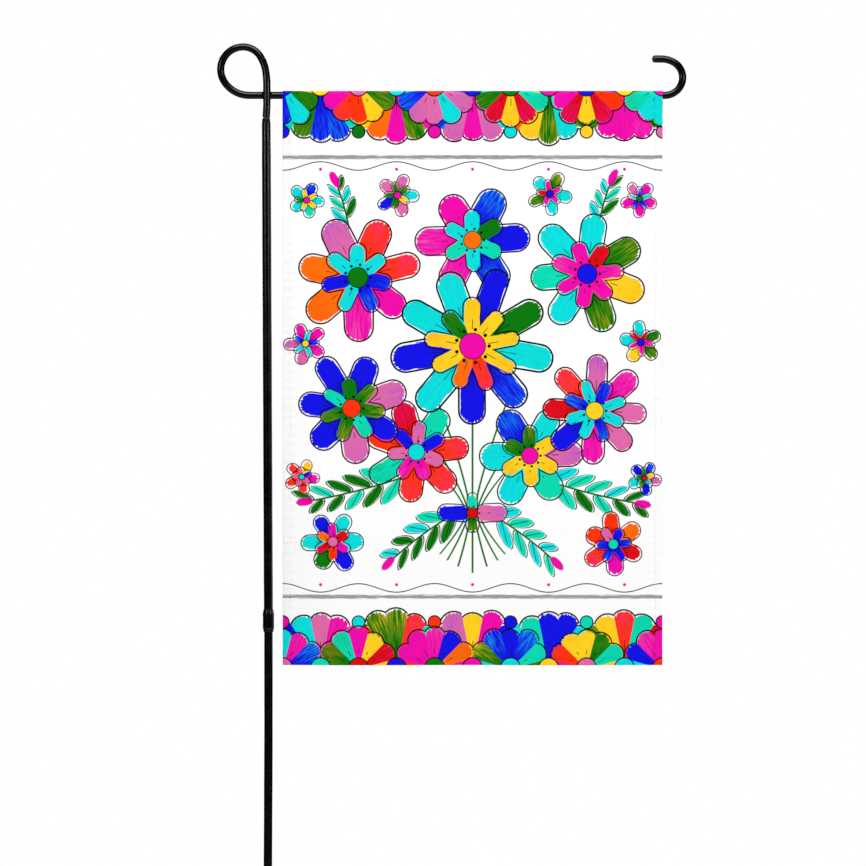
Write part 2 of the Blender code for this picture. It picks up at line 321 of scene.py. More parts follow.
class Effect:
    """A shading effect that is kept as one node group and placed wherever it is needed."""

    name: str = ""
    takes: dict[str, Port] = {}
    gives: dict[str, Port] = {}

    @classmethod
    def tree(cls) -> bpy.types.NodeTree:
        """Builds the effect's node group when it is first asked for.

        Returns:
            The group.
        """
        known = bpy.data.node_groups.get(cls.name)
        if known is not None:
            return known
        tree = bpy.data.node_groups.new(cls.name, "ShaderNodeTree")
        for in_out, ports in (("INPUT", cls.takes), ("OUTPUT", cls.gives)):
            for name, port in ports.items():
                tree.interface.new_socket(name=name, in_out=in_out, socket_type=port.value)
        board = Board(tree)
        entry = board.node("NodeGroupInput", {})
        given = {name: port.wrap(board, entry.outputs[name]) for name, port in cls.takes.items()}
        board.node("NodeGroupOutput", cls.draw(board, given))
        return tree

    @classmethod
    def draw(cls, board: Board, given: Signals) -> Signals:
        """Adds the effect's nodes to its group.

        Args:
            board: The group's board.
            given: The group's inputs, by name.

        Returns:
            The group's outputs, by name.
        """
        raise NotImplementedError


# Paints and shapes of the print, in millimetres on the cloth

CLOTH_WHITE = 0.88
PAINT_EDGE = 0.4
INK_EDGE = 0.3


def linear_light(level: float) -> float:
    """Linear light of a screen level, both from 0 to 1."""
    return ((level + 0.055) / 1.055) ** 2.4 if level > 0.04045 else level / 12.92


class Paint(Enum):
    """Paints of the print: screen colour, and share of all the petals, in palette order."""

    SUN_YELLOW = ("FFD21E", 0.09)
    ORANGE = ("FF6E00", 0.03)
    VERMILION = ("FF3200", 0.07)
    RED = ("DC0000", 0.04)
    MAGENTA = ("F000AA", 0.16)
    PINK = ("E06AA8", 0.08)
    BLUE = ("0A0AE6", 0.20)
    CYAN = ("00DCDC", 0.14)
    TURQUOISE = ("00DCB4", 0.07)
    GREEN = ("007800", 0.12)
    INK = ("050505", 0.0)
    BRUSH_GREY = ("8C8C8C", 0.0)
    WHITE = ("FEFEFE", 0.0)

    def __init__(self, screen: str, share: float) -> None:
        """Keeps the paint's screen colour and its share of the petals."""
        self.screen, self.share = screen, share

    @property
    def light(self) -> tuple[float, ...]:
        """The paint as a linear colour, allowing for how brightly the studio lights the cloth."""
        levels = [int(self.screen[at : at + 2], 16) / 255.0 for at in (0, 2, 4)]
        return tuple(CLOTH_WHITE * linear_light(level) for level in levels)


PETAL_PAINTS = tuple(paint for paint in Paint if paint.share > 0.0)


class PaintPalette(Effect):
    """Picks one petal paint by a position that runs from 0 to 1 and then starts again."""

    name = "paint_palette"
    takes = {"Position": Port.NUMBER}
    gives = {"Colour": Port.COLOUR}

    @classmethod
    def draw(cls, board: Board, given: Signals) -> Signals:
        """Draws a colour ramp in flat steps, each as wide as its paint's share.

        Args:
            board: The group's board.
            given: The position.

        Returns:
            The paint's colour.
        """
        ramp = board.node("ShaderNodeValToRGB", {0: board.math("FRACT", given["Position"])})
        ramp.color_ramp.interpolation = "CONSTANT"
        stops = ramp.color_ramp.elements
        while len(stops) < len(PETAL_PAINTS):
            stops.new(len(stops) / len(PETAL_PAINTS))
        position = 0.0
        for stop, paint in zip(stops, PETAL_PAINTS):
            stop.position = position
            stop.color = (*paint.light, 1.0)
            position += paint.share
        return {"Colour": Spot(board, ramp.outputs[0])}


def petal_paint(board: Board, position: Number) -> Spot:
    """The petal paint at a position in the palette."""
    return board.place(PaintPalette, {"Position": position})["Colour"]


def brush_streaks(board: Board, bristles: Spot, strength: float = 4.0) -> Term:
    """Unevenness of a brush mark around 0, for a place counted in bristles."""
    return (board.noise(bristles)[0] - 0.5) * strength


class PetalRing(Effect):
    """One ring of brushed petals round a centre, with the loose ink line round them.

    Each petal is a brush dab: a round-ended stroke whose tip is ragged where the brush left it.
    """

    name = "petal_ring"
    takes = {
        "Local": Port.PLACE,
        "Count": Port.NUMBER,
        "Paint": Port.NUMBER,
        "Paint Range": Port.NUMBER,
        "Seed": Port.NUMBER,
        "Turn": Port.NUMBER,
        "Base": Port.NUMBER,
        "Breadth": Port.NUMBER,
    }
    gives = {"Colour": Port.COLOUR, "Cover": Port.NUMBER, "Ink": Port.NUMBER}
    bristles_across = 0.85
    bristles_along = 0.085
    line_gap = 1.1
    line_half = 0.3
    line_edge = 0.35

    @classmethod
    def draw(cls, board: Board, given: Signals) -> Signals:
        """Draws the petals in the sector that is nearest to each point.

        Args:
            board: The group's board.
            given: The inputs. Local holds the place beside the centre and, third, the petals'
                reach; Base and Breadth are shares of that reach.

        Returns:
            The petals' colour, where paint covers the cloth, and where ink does.
        """
        x, y, reach = given["Local"].parts()
        seed = given["Seed"]
        bearing = board.math("ARCTAN2", y, x) + given["Turn"]
        index, aside = bearing.nearest_mark(math.tau / given["Count"])
        petal = board.math("FLOORED_MODULO", index, given["Count"])
        distance = board.length(x, y)
        along = distance * board.math("COSINE", aside)
        across = distance * board.math("SINE", aside)

        first, second, third = board.luck(petal, seed).parts()
        brush = petal * 3.7 + seed * 9.1
        bristles = board.spot(across * cls.bristles_across, along * cls.bristles_along, brush)
        streak = brush_streaks(board, bristles)

        half = reach * given["Breadth"] * first.between(0.9, 1.1)
        start = reach * given["Base"] + half
        end = reach * second.between(0.87, 0.98) - half
        nearest = along.held(start, end)
        edge = board.length(along - nearest, across) - half
        tipness = along.eased(start, end + half)
        ragged = edge + streak * tipness.between(0.45, 1.55)

        wander = board.math("SINE", bearing * 5.0 + seed * 4.0) * 0.5
        outline = abs(edge - cls.line_gap + wander) - cls.line_half - reach * 0.007
        vein = board.most(
            abs(across + wander * 0.6) - cls.line_half,
            abs(nearest - along) - 0.1,
            start - along + half * 0.5,
            along - (start + end) * 0.5,
        )
        ink = board.most(outline.within(cls.line_edge), vein.within(INK_EDGE))

        position = given["Paint"] + given["Paint Range"] * third
        body, tip = petal_paint(board, position), petal_paint(board, position + 0.1)
        colour = board.mix(tipness * second * (0.2 + streak * 0.5), body, tip)
        colour = colour.times(1.0 + streak * 0.09)
        return {"Colour": colour, "Cover": ragged.within(PAINT_EDGE), "Ink": ink}


class PaintedBloom(Effect):
    """A whole painted flower: outer petals, inner petals and a dotted heart."""

    name = "painted_bloom"
    takes = {"Local": Port.PLACE, "Traits": Port.PLACE}
    gives = {"Colour": Port.COLOUR, "Cover": Port.NUMBER}
    petal_breadth = 1.34
    widest_petal = 0.22
    inner_size = 0.58
    inner_seed = 31.0
    heart_size = 0.155
    dot_circle = 0.2
    dots = 9

    @classmethod
    def draw(cls, board: Board, given: Signals) -> Signals:
        """Draws the flower round its centre.

        Args:
            board: The group's board.
            given: Local holds the place beside the centre and the reach, and Traits hold the
                number of petals, where the paints start, and the seed.

        Returns:
            The flower's colour, and where it covers the cloth.
        """
        count, paint, seed = given["Traits"].parts()
        x, y, reach = given["Local"].parts()
        breadth = board.math("MINIMUM", cls.petal_breadth / count, cls.widest_petal)
        outer_petals = {
            "Local": given["Local"],
            "Count": count,
            "Paint": paint,
            "Paint Range": 0.42,
            "Seed": seed,
            "Turn": seed,
            "Base": 0.10,
            "Breadth": breadth,
        }
        inner_petals = {
            "Local": board.spot(x, y, reach * cls.inner_size),
            "Count": count,
            "Paint": paint + 0.48,
            "Paint Range": 0.22,
            "Seed": seed + cls.inner_seed,
            "Turn": seed + math.pi / count,
            "Base": 0.12,
            "Breadth": breadth * 0.95,
        }
        outer, inner = board.place(PetalRing, outer_petals), board.place(PetalRing, inner_petals)

        distance = board.length(x, y)
        heart = distance - reach * cls.heart_size
        pitch = math.tau / cls.dots
        _, turned = board.math("ARCTAN2", y, x).nearest_mark(pitch)
        dots = board.length(turned * distance, distance - reach * cls.dot_circle)
        dots = dots - reach * 0.018 - 0.25
        heart_cover = heart.within(PAINT_EDGE)
        marks = board.most((abs(heart) - 0.35).within(INK_EDGE), dots.within(INK_EDGE))
        colour = board.over(
            outer["Colour"],
            (outer["Ink"], Paint.INK.light),
            (inner["Cover"], inner["Colour"]),
            (inner["Ink"], Paint.INK.light),
            (heart_cover, petal_paint(board, paint + 0.88)),
            (marks, Paint.INK.light),
        )
        petals = board.most(outer["Cover"], outer["Ink"], inner["Cover"], inner["Ink"])
        cover = board.most(petals, heart_cover, marks)
        return {"Colour": colour, "Cover": cover * (distance - reach - 2.0).within(PAINT_EDGE)}


class PickMotif(Effect):
    """Passes on one motif's own place and traits near it, and elsewhere what it was given."""

    takes = {
        "Place": Port.PLACE,
        "Centre": Port.PLACE,
        "Bearing": Port.NUMBER,
        "Traits": Port.PLACE,
        "Local So Far": Port.PLACE,
        "Traits So Far": Port.PLACE,
    }
    gives = {"Local": Port.PLACE, "Traits": Port.PLACE}

    @classmethod
    def draw(cls, board: Board, given: Signals) -> Signals:
        """Draws the choice.

        Args:
            board: The group's board.
            given: The inputs. Centre's third number is minus the motif's reach or length, and
                Place's is how strongly the print shows. Local's is the reach or length and up
                to a millimetre more where the print is strong, as dye spreads.

        Returns:
            Place seen from the motif, and the traits.
        """
        made = board.node(
            "ShaderNodeVectorRotate",
            {"Vector": given["Place"] - given["Centre"], "Angle": given["Bearing"] * -1.0},
            rotation_type="Z_AXIS",
        )
        local = Spot(board, made.outputs[0])
        outside = cls.outside(board, *local.parts()).beyond(0.0)
        return {
            "Local": board.mix(outside, local, given["Local So Far"]),
            "Traits": board.mix(outside, given["Traits"], given["Traits So Far"]),
        }

    @classmethod
    def outside(cls, board: Board, x: Term, y: Term, size: Term) -> Term:
        """Says how far a point lies outside the motif's own ground.

        Args:
            board: The group's board.
            x: Place beside the motif's centre, along its bearing.
            y: Place beside it, across its bearing.
            size: The motif's reach or length.

        Returns:
            The distance, negative inside.
        """
        raise NotImplementedError


class PickBloom(PickMotif):
    """Picks one flower where the point lies within its reach."""

    name = "pick_bloom"

    @classmethod
    def outside(cls, board: Board, x: Term, y: Term, size: Term) -> Term:
        """Distance outside a circle a little wider than the flower."""
        return board.length(x, y) - size - 2.0


class PickSprig(PickMotif):
    """Picks one leafy sprig where the point lies near its stem."""

    name = "pick_sprig"

    @classmethod
    def outside(cls, board: Board, x: Term, y: Term, size: Term) -> Term:
        """Distance outside a box round the stem, its leaves and its bud."""
        return board.most(abs(x - size * 0.5 - 7.0) - size * 0.5 - 9.0, abs(y) - 24.0)


class LeafSprig(Effect):
    """A bent stem with brushed leaves on both sides, each with an ink vein."""

    name = "leaf_sprig"
    takes = {"Local": Port.PLACE, "Traits": Port.PLACE}
    gives = {"Colour": Port.COLOUR, "Cover": Port.NUMBER}
    slant = math.radians(44.0)
    leaf_spacing = 0.66
    leaf_half = 0.19
    stem_half = 0.75
    bud_gap = 4.0
    bud_radius = 3.4

    @classmethod
    def draw(cls, board: Board, given: Signals) -> Signals:
        """Draws the sprig along its stem.

        Args:
            board: The group's board.
            given: Local holds the place along and across the stem and its length, and Traits
                hold the leaves' length, the stem's bend and the seed.

        Returns:
            The sprig's colour, and where it covers the cloth.
        """
        along, across, length = given["Local"].parts()
        leaf, bend, seed = given["Traits"].parts()
        bent = across - bend * along * along / length
        upper = bent.beyond(0.0)
        run = abs(bent) / math.sin(cls.slant)
        foot = along - abs(bent) / math.tan(cls.slant) + upper * leaf * (0.5 * cls.leaf_spacing)
        index, off_leaf = foot.nearest_mark(leaf * cls.leaf_spacing)
        aside = off_leaf * math.sin(cls.slant)
        place_on_stem = foot - off_leaf
        reach = leaf * (1.08 - 0.45 * place_on_stem / length)
        share = (run / reach).held(0.0, 1.0)
        belly = board.math("POWER", share * (1.0 - share) * 4.0, 0.75)
        streak = brush_streaks(board, board.spot(aside * 0.9, run * 0.09, index + seed * 5.0))
        off_stem = board.most(0.5 - index, place_on_stem - length) * 20.0
        edge = board.most(abs(aside) - belly * reach * cls.leaf_half, off_stem, run - reach)
        leaf_cover = (edge + streak * 0.3).within(PAINT_EDGE)

        bud = board.length((along - length - cls.bud_gap) * 0.5, bent) - cls.bud_radius
        bud_cover = (bud + streak * 0.3).within(PAINT_EDGE)
        stem = board.most(abs(bent) - cls.stem_half, abs(along - length * 0.5) - length * 0.5)
        stem_cover = stem.within(PAINT_EDGE)
        vein = board.most(abs(aside + 0.2) - 0.28, run - reach * 0.8, off_stem)
        outline = board.most(abs(edge - 0.7) - 0.36, run - reach * 0.97)
        ink = board.most(vein.within(INK_EDGE), outline.within(INK_EDGE))
        luck, _, _ = board.luck(index + upper * 17.0, seed).parts()
        colour = board.over(
            petal_paint(board, luck.between(0.72, 0.99)).times(1.0 + streak * 0.1),
            (stem_cover, Paint.GREEN.light),
            (bud_cover, Paint.MAGENTA.light),
            (ink, Paint.INK.light),
        )
        return {"Colour": colour, "Cover": board.most(leaf_cover, stem_cover, bud_cover, ink)}


@dataclass(frozen=True)
class Bloom:
    """One painted flower, placed in millimetres from the panel's middle and lower edge."""

    across: float
    up: float
    reach: float
    petals: int
    paint: float
    seed: float
    picker = PickBloom
    painter = PaintedBloom
    absent = {"Local": (900.0, 900.0, 1.0), "Traits": (5.0, 0.0, 0.0)}

    def inputs(self) -> Inputs:
        """Works out what its picker is given.

        Returns:
            The inputs, by name.
        """
        return {
            "Centre": (self.across, self.up, -self.reach),
            "Bearing": 0.0,
            "Traits": (float(self.petals), self.paint, self.seed),
        }


@dataclass(frozen=True)
class Sprig:
    """One leafy sprig: where its stem starts, its bearing, its length and its leaves'."""

    across: float
    up: float
    degrees: float
    length: float
    leaf: float
    bend: float
    seed: float
    picker = PickSprig
    painter = LeafSprig
    absent = {"Local": (900.0, 900.0, 1.0), "Traits": (20.0, 0.0, 0.0)}

    def inputs(self) -> Inputs:
        """Works out what its picker is given.

        Returns:
            The inputs, by name.
        """
        return {
            "Centre": (self.across, self.up, -self.length),
            "Bearing": math.radians(self.degrees),
            "Traits": (self.leaf, self.bend, self.seed),
        }


def paint_layer(board: Board, drawn: Value, place: Spot, motifs: Sequence[Union[Bloom, Sprig]]) -> Spot:
    """Paints one layer of flowers or sprigs over what is drawn so far.

    Args:
        board: Where nodes go.
        drawn: Colour so far.
        place: Place on the cloth in millimetres.
        motifs: The layer's flowers or its sprigs, none of which may touch another.

    Returns:
        The colour with the layer.
    """
    kind = type(motifs[0])
    picked = kind.absent
    for motif in motifs:
        so_far = {f"{name} So Far": value for name, value in picked.items()}
        picked = board.place(kind.picker, {"Place": place, **motif.inputs(), **so_far})
    painted = board.place(kind.painter, picked)
    return board.mix(painted["Cover"], drawn, painted["Colour"])


@dataclass(frozen=True)
class DotRow:
    """A row of round painted dots with an ink line: buds between petals, or flower hearts."""

    pitch: float
    shift: float
    height: float
    radius: float
    paint: float

    def colour(self, board: Board, drawn: Value, place: Spot) -> Spot:
        """Paints the dots over what is drawn so far.

        Args:
            board: Where nodes go.
            drawn: Colour so far.
            place: Across, distance from the nearer edge, and 1 at the upper edge.

        Returns:
            The colour with the dots.
        """
        across, rim, upper = place.parts()
        number, beside = across.nearest_mark(self.pitch, self.shift)
        away = board.length(beside, rim - self.height) - self.radius
        paint = petal_paint(board, number * 0.37 + upper * 0.21 + self.paint)
        line = (abs(away - 0.3) - 0.5).within(INK_EDGE)
        return board.over(drawn, (away.within(PAINT_EDGE), paint), (line, Paint.INK.light))


BACK_BLOOMS = (
    Bloom(0.0, 341.0, 45.0, 6, 0.23, 3.1),
    Bloom(-45.0, 171.0, 42.0, 7, 0.80, 4.4),
    Bloom(46.0, 168.0, 42.0, 6, 0.42, 5.2),
    Bloom(-60.0, 377.0, 17.0, 5, 0.38, 6.3),
    Bloom(62.0, 378.0, 17.0, 5, 0.70, 7.7),
    Bloom(-134.0, 258.0, 17.0, 5, 0.15, 8.1),
    Bloom(135.0, 259.0, 17.0, 5, 0.65, 9.6),
    Bloom(-137.0, 151.0, 13.0, 5, 0.92, 10.2),
    Bloom(138.0, 150.0, 13.0, 5, 0.35, 11.5),
)
MIDDLE_BLOOMS = (
    Bloom(-92.0, 311.0, 51.0, 7, 0.07, 21.3),
    Bloom(92.0, 314.0, 50.0, 7, 0.67, 22.8),
    Bloom(-97.0, 206.0, 46.0, 7, 0.30, 23.9),
    Bloom(98.0, 204.0, 45.0, 8, 0.12, 24.4),
    Bloom(-133.0, 373.0, 14.0, 5, 0.40, 25.2),
    Bloom(134.0, 374.0, 14.0, 5, 0.02, 26.7),
    Bloom(-112.0, 99.0, 25.0, 6, 0.55, 29.3),
    Bloom(113.0, 97.0, 25.0, 6, 0.96, 30.8),
)
FRONT_BLOOMS = (
    Bloom(0.0, 256.0, 66.0, 9, 0.50, 19.722),
    Bloom(0.0, 122.0, 27.0, 2, 0.35, 28.274),
)
SPRIGS = (
    Sprig(-99.0, 350.0, 100.0, 36.0, 17.0, 0.1, 0.0),
    Sprig(101.0, 352.0, 80.0, 36.0, 17.0, -0.1, 1.0),
    Sprig(-52.0, 152.0, 199.0, 80.0, 24.0, -0.08, 2.0),
    Sprig(54.0, 150.0, -19.0, 80.0, 24.0, 0.08, 3.0),
    Sprig(-10.0, 124.0, 209.0, 66.0, 23.0, 0.12, 4.0),
    Sprig(10.0, 124.0, -29.0, 66.0, 23.0, -0.12, 5.0),
)


@dataclass(frozen=True)
class PosyPrint:
    """The printed design: a posy of painted flowers between two rows of half flowers.

    It is a plain general design in bright paints, with brush marks a few millimetres wide.
    """

    top: float
    width: float
    border: float = 50.0
    scallop: float = 60.96
    tie_height: float = 122.0
    stem_half: float = 0.8
    stem_spread: float = 19.0
    stem_rise: float = 92.0
    stem_fall: float = 48.0
    stroke_inside: float = 5.0
    wave_inside: float = 12.0
    wave_height: float = 3.4
    dot_inside: float = 14.6

    def stems(self, board: Board, across: Term, up: Term) -> Term:
        """Draws the flower stems, which fan out above and below the bow.

        Args:
            board: Where nodes go.
            across: Place across the cloth from its middle.
            up: Height above the hem.

        Returns:
            Mask of the stems.
        """
        rise = abs(up - self.tie_height)
        spread = 1.6 + board.math("POWER", rise / 70.0, 1.3) * self.stem_spread
        number, beside = across.nearest_mark(spread)
        number = abs(number)
        below = (self.tie_height - up).held(0.0, 1.0)
        above_top = self.stem_rise - number.beyond(1.5) * 30.0
        below_end = self.stem_fall - number * 5.0
        past_end = rise - above_top + below * (above_top - below_end)
        past_side = abs(across / spread) - 3.5
        return board.most(abs(beside) - self.stem_half, past_side, past_end).within(PAINT_EDGE)

    def half_flowers(self, board: Board, across: Term, rim: Term, seed: Number, row: int) -> Signals:
        """Paints one row of half flowers along the upper and lower edges.

        Args:
            board: Where nodes go.
            across: Place across the cloth.
            rim: Distance from the nearer edge, upper or lower.
            seed: Tells the upper edge's paints from the lower edge's.
            row: 0 for the back row and 1 for the front row.

        Returns:
            The row's colour, cover and ink.
        """
        number, beside = across.nearest_mark(self.scallop, 0.5 * row)
        petals = {
            "Local": board.spot(beside, rim + 3.0, self.border - 15.0 * row),
            "Count": 16.0 - 4.0 * row,
            "Paint": board.math("FRACT", number * 0.37 + seed * 0.21) + 0.1 * row,
            "Paint Range": 0.55,
            "Seed": number + seed * 3.0 + 7.0 * row,
            "Turn": 0.0,
            "Base": 0.0,
            "Breadth": 0.19 + 0.04 * row,
        }
        return board.place(PetalRing, petals)

    def colour(self, board: Board, place: Spot) -> Spot:
        """Paints the whole print.

        Args:
            board: Where nodes go.
            place: Place on the cloth in millimetres: across from the middle, up from the hem,
                and how strongly the print shows.

        Returns:
            The printed colour.
        """
        across, up, _ = place.parts()
        drawn = board.mix(self.stems(board, across, up), Paint.WHITE.light, Paint.GREEN.light)
        for motifs in (SPRIGS, BACK_BLOOMS, MIDDLE_BLOOMS, FRONT_BLOOMS):
            drawn = paint_layer(board, drawn, place, motifs)

        upper = up.beyond(0.5 * self.top)
        rim = board.math("MINIMUM", up, self.top - up)
        height = 0.69 * self.border
        buds = DotRow(pitch=self.scallop, shift=0.5, height=height, radius=4.8, paint=0.13)
        hearts = DotRow(pitch=0.5 * self.scallop, shift=0.0, height=-2.0, radius=7.6, paint=0.31)
        for row, dots in enumerate((buds, hearts)):
            petals = self.half_flowers(board, across, rim, upper, row)
            inked = (petals["Ink"], Paint.INK.light)
            drawn = board.over(drawn, (petals["Cover"], petals["Colour"]), inked)
            drawn = dots.colour(board, drawn, board.spot(across, rim, upper))
        return self.edging(board, drawn, across, rim)

    def edging(self, board: Board, drawn: Spot, across: Term, rim: Term) -> Spot:
        """Adds the dry grey brush stroke, and the wavy ink line with its dots inside it.

        Args:
            board: Where nodes go.
            drawn: Colour so far.
            across: Place across the cloth.
            rim: Distance from the nearer edge, upper or lower.

        Returns:
            The colour with the edging.
        """
        inward = rim - self.border
        streaks = brush_streaks(board, board.spot(across * 0.05, rim * 1.1), 7.0)
        stroke = abs(inward - self.stroke_inside) - 1.9 + abs(streaks)
        wave = board.math("COSINE", across * (math.tau / self.scallop)) * self.wave_height
        line = abs(inward - self.wave_inside + wave) - 0.42
        _, beside = across.nearest_mark(self.scallop)
        dot = board.length(beside, inward - self.dot_inside) - 1.3
        return board.over(
            drawn,
            (stroke.within(0.8) * 0.9, Paint.BRUSH_GREY.light),
            (line.within(INK_EDGE), Paint.INK.light),
            (dot.within(INK_EDGE), Paint.MAGENTA.light),
        )


# Finishes


class PlainWeave(Effect):
    """Over-and-under threads of a plain woven cloth."""

    name = "plain_weave"
    takes = {"Place": Port.PLACE, "Thread Pitch": Port.NUMBER}
    gives = {"Height": Port.NUMBER, "Shade": Port.NUMBER}

    @classmethod
    def draw(cls, board: Board, given: Signals) -> Signals:
        """Draws the threads.

        Args:
            board: The group's board.
            given: The place and the pitch of the threads, in millimetres.

        Returns:
            The threads' relief from 0 to about 1, and a shade that varies from thread to thread.
        """
        x, y, _ = given["Place"].times(1.0 / given["Thread Pitch"]).parts()
        over = board.math("FLOORED_MODULO", board.math("FLOOR", x) + board.math("FLOOR", y), 2.0)
        warp = board.math("SINE", board.math("FRACT", x) * math.pi)
        weft = board.math("SINE", board.math("FRACT", y) * math.pi)
        height = warp * over.between(0.35, 1.0) * (1.0 - over) + weft * over + warp * weft * 0.5
        return {"Height": height, "Shade": board.noise(board.spot(x * 0.9, y * 0.02), 1.0, 1.0)[0]}


class SeamPucker(Effect):
    """Small gathers that the thread draws in beside a seam."""

    name = "seam_pucker"
    takes = {"Beside": Port.NUMBER, "Along": Port.NUMBER, "Pitch": Port.NUMBER}
    gives = {"Height": Port.NUMBER}
    reach = 6.0
    groove_half = 0.8

    @classmethod
    def draw(cls, board: Board, given: Signals) -> Signals:
        """Draws the gathers and the groove in which the stitches lie.

        Args:
            board: The group's board.
            given: The distance beside the seam, the place along it and the gathers' pitch, in
                millimetres.

        Returns:
            The relief, around 0.
        """
        aside, along = abs(given["Beside"]), given["Along"]
        waver, _ = board.noise(board.spot(along * 0.11, 0.0), 1.0, 1.0)
        gathers = board.math("SINE", along * (math.tau / given["Pitch"]) + waver * 9.0)
        near, groove = (1.0 - aside.eased(0.0, width) for width in (cls.reach, cls.groove_half))
        return {"Height": near * gathers * 0.5 - groove}


class CoatGrain(Effect):
    """Sprayed powder coat: slow thickness waves, fine orange peel, and scuffs where it rubs."""

    name = "coat_grain"
    takes = {"Place": Port.PLACE, "Peel Scale": Port.NUMBER, "Rubbing": Port.NUMBER}
    gives = {"Height": Port.NUMBER, "Dullness": Port.NUMBER, "Scuff": Port.NUMBER}
    wave_scale = 0.09

    @classmethod
    def draw(cls, board: Board, given: Signals) -> Signals:
        """Draws the coat.

        Args:
            board: The group's board.
            given: The place, how many dimples of peel fit in a metre, and the rubbing.

        Returns:
            The relief, and masks from 0 to 1 of where the coat is dull and where it is scuffed.
        """
        place = given["Place"].times(given["Peel Scale"])
        peel, _ = board.noise(place)
        waves, shifts = board.noise(place, cls.wave_scale)
        cloud, speck, _ = shifts.parts()
        scuff = (speck * 0.55 + peel * 0.45 + given["Rubbing"] * 0.34).eased(0.66, 0.78)
        return {
            "Height": peel * 0.22 + waves * 3.0,
            "Dullness": cloud.eased(0.35, 0.7),
            "Scuff": scuff * given["Rubbing"].held(0.0, 1.0),
        }


def new_material(name: str) -> tuple[bpy.types.Material, Board, bpy.types.Node]:
    """Starts a material.

    Args:
        name: What it is called.

    Returns:
        The material, the board of its nodes and its main shader.
    """
    material = bpy.data.materials.new(name)
    material.use_nodes = True
    return material, Board(material.node_tree), material.node_tree.nodes["Principled BSDF"]


@dataclass(frozen=True)
class PrintedPolyester:
    """White plain-woven polyester with the design printed on its outer side.

    Hem line, seam and thread pitch are in millimetres, and the relief and pucker in metres.
    """

    print_design: PosyPrint
    hem_line: float
    seam_up: float
    thread_pitch: float = 0.52
    relief: float = 0.00005
    pucker: float = 0.00022
    pucker_pitches: tuple[float, float, float] = (7.3, 8.1, 6.7)

    def pulls(self, board: Board, across: Term, up: Term) -> Term:
        """Adds up the gathers beside the side hems, the bottom hem and the pocket's seam.

        Args:
            board: Where nodes go.
            across: Place across the cloth from its middle.
            up: Height above the hem.

        Returns:
            The relief that they give, around 0.
        """
        side = abs(across) - (0.5 * self.print_design.width - self.hem_line)
        seams = ((side, up), (up - self.hem_line, across), (up - self.seam_up, across))
        side_pull, hem_pull, seam_pull = (
            board.place(SeamPucker, {"Beside": beside, "Along": along, "Pitch": pitch})["Height"]
            for (beside, along), pitch in zip(seams, self.pucker_pitches)
        )
        return side_pull + hem_pull + seam_pull

    def material(self) -> bpy.types.Material:
        """Makes the finish.

        Returns:
            A material that reads the mesh's cloth_place: millimetres across from the middle
            and up from the hem, and how strongly the print shows there.
        """
        material, board, shader = new_material("printed_polyester")
        place, _ = board.attribute("cloth_place")
        across, up, strength = place.parts()
        weave = board.place(PlainWeave, {"Place": place, "Thread Pitch": self.thread_pitch})
        colour = board.mix(strength, Paint.WHITE.light, self.print_design.colour(board, place))
        height = weave["Height"] * self.relief + self.pulls(board, across, up) * self.pucker
        finish = {
            "Base Color": colour.times(weave["Shade"].between(0.985, 1.015)),
            "Roughness": 0.82,
            "Specular IOR Level": 0.08,
            "Sheen Weight": 0.03,
            "Sheen Roughness": 0.5,
            "Normal": board.bump(height),
        }
        board.feed(shader, finish)
        return material


@dataclass(frozen=True)
class CoatedSteel:
    """Satin black powder coat on steel, a little scuffed where parts rub."""

    colour: tuple[float, float, float] = (0.0012, 0.0012, 0.0013)
    scuffed: tuple[float, float, float] = (0.020, 0.020, 0.019)
    roughness: float = 0.20
    dull_roughness: float = 0.28
    scuff_roughness: float = 0.12
    peel_scale: float = 1100.0
    relief: float = 0.000022

    def material(self) -> bpy.types.Material:
        """Makes the finish.

        Returns:
            A material that reads the mesh's rubbing attribute where there is one.
        """
        material, board, shader = new_material("coated_steel")
        _, rubbing = board.attribute("rubbing")
        place = {"Place": board.object_place(), "Peel Scale": self.peel_scale, "Rubbing": rubbing}
        grain = board.place(CoatGrain, place)
        rough = grain["Dullness"].between(self.roughness, self.dull_roughness)
        finish = {
            "Base Color": board.mix(grain["Scuff"], self.colour, self.scuffed),
            "Roughness": rough + grain["Scuff"] * self.scuff_roughness,
            "Normal": board.bump(grain["Height"] * self.relief),
        }
        board.feed(shader, finish)
        return material


# Mesh building

Faces = list[tuple[int, ...]]
Profile = list[tuple[float, float]]


def smooth_step(share: np.ndarray) -> np.ndarray:
    """Eases 0 to 1 with a level start and end."""
    share = np.clip(share, 0.0, 1.0)
    return share * share * (3.0 - 2.0 * share)


def grid_quads(rows: int, columns: int, closed: bool, first: int = 0) -> Faces:
    """Faces of a grid of points that are numbered row by row.

    Args:
        rows: How many rows of points.
        columns: How many points in a row.
        closed: Whether each row runs round to its own start.
        first: Number of the grid's first point.

    Returns:
        Four point numbers for each face.
    """
    quads = []
    for row in range(rows - 1):
        for column in range(columns if closed else columns - 1):
            beside = (column + 1) % columns
            low, high = first + row * columns, first + (row + 1) * columns
            quads.append((low + column, low + beside, high + beside, high + column))
    return quads


def capped_tube(rings: int, sides: int) -> Faces:
    """Faces of a closed tube of rings of points, with a flat cap at each end.

    Args:
        rings: How many rings of points.
        sides: How many points in a ring.

    Returns:
        Four point numbers for each side face, and a ring of them for each cap.
    """
    last = (rings - 1) * sides
    caps = [tuple(range(sides))[::-1], tuple(range(last, last + sides))]
    return grid_quads(rings, sides, closed=True) + caps


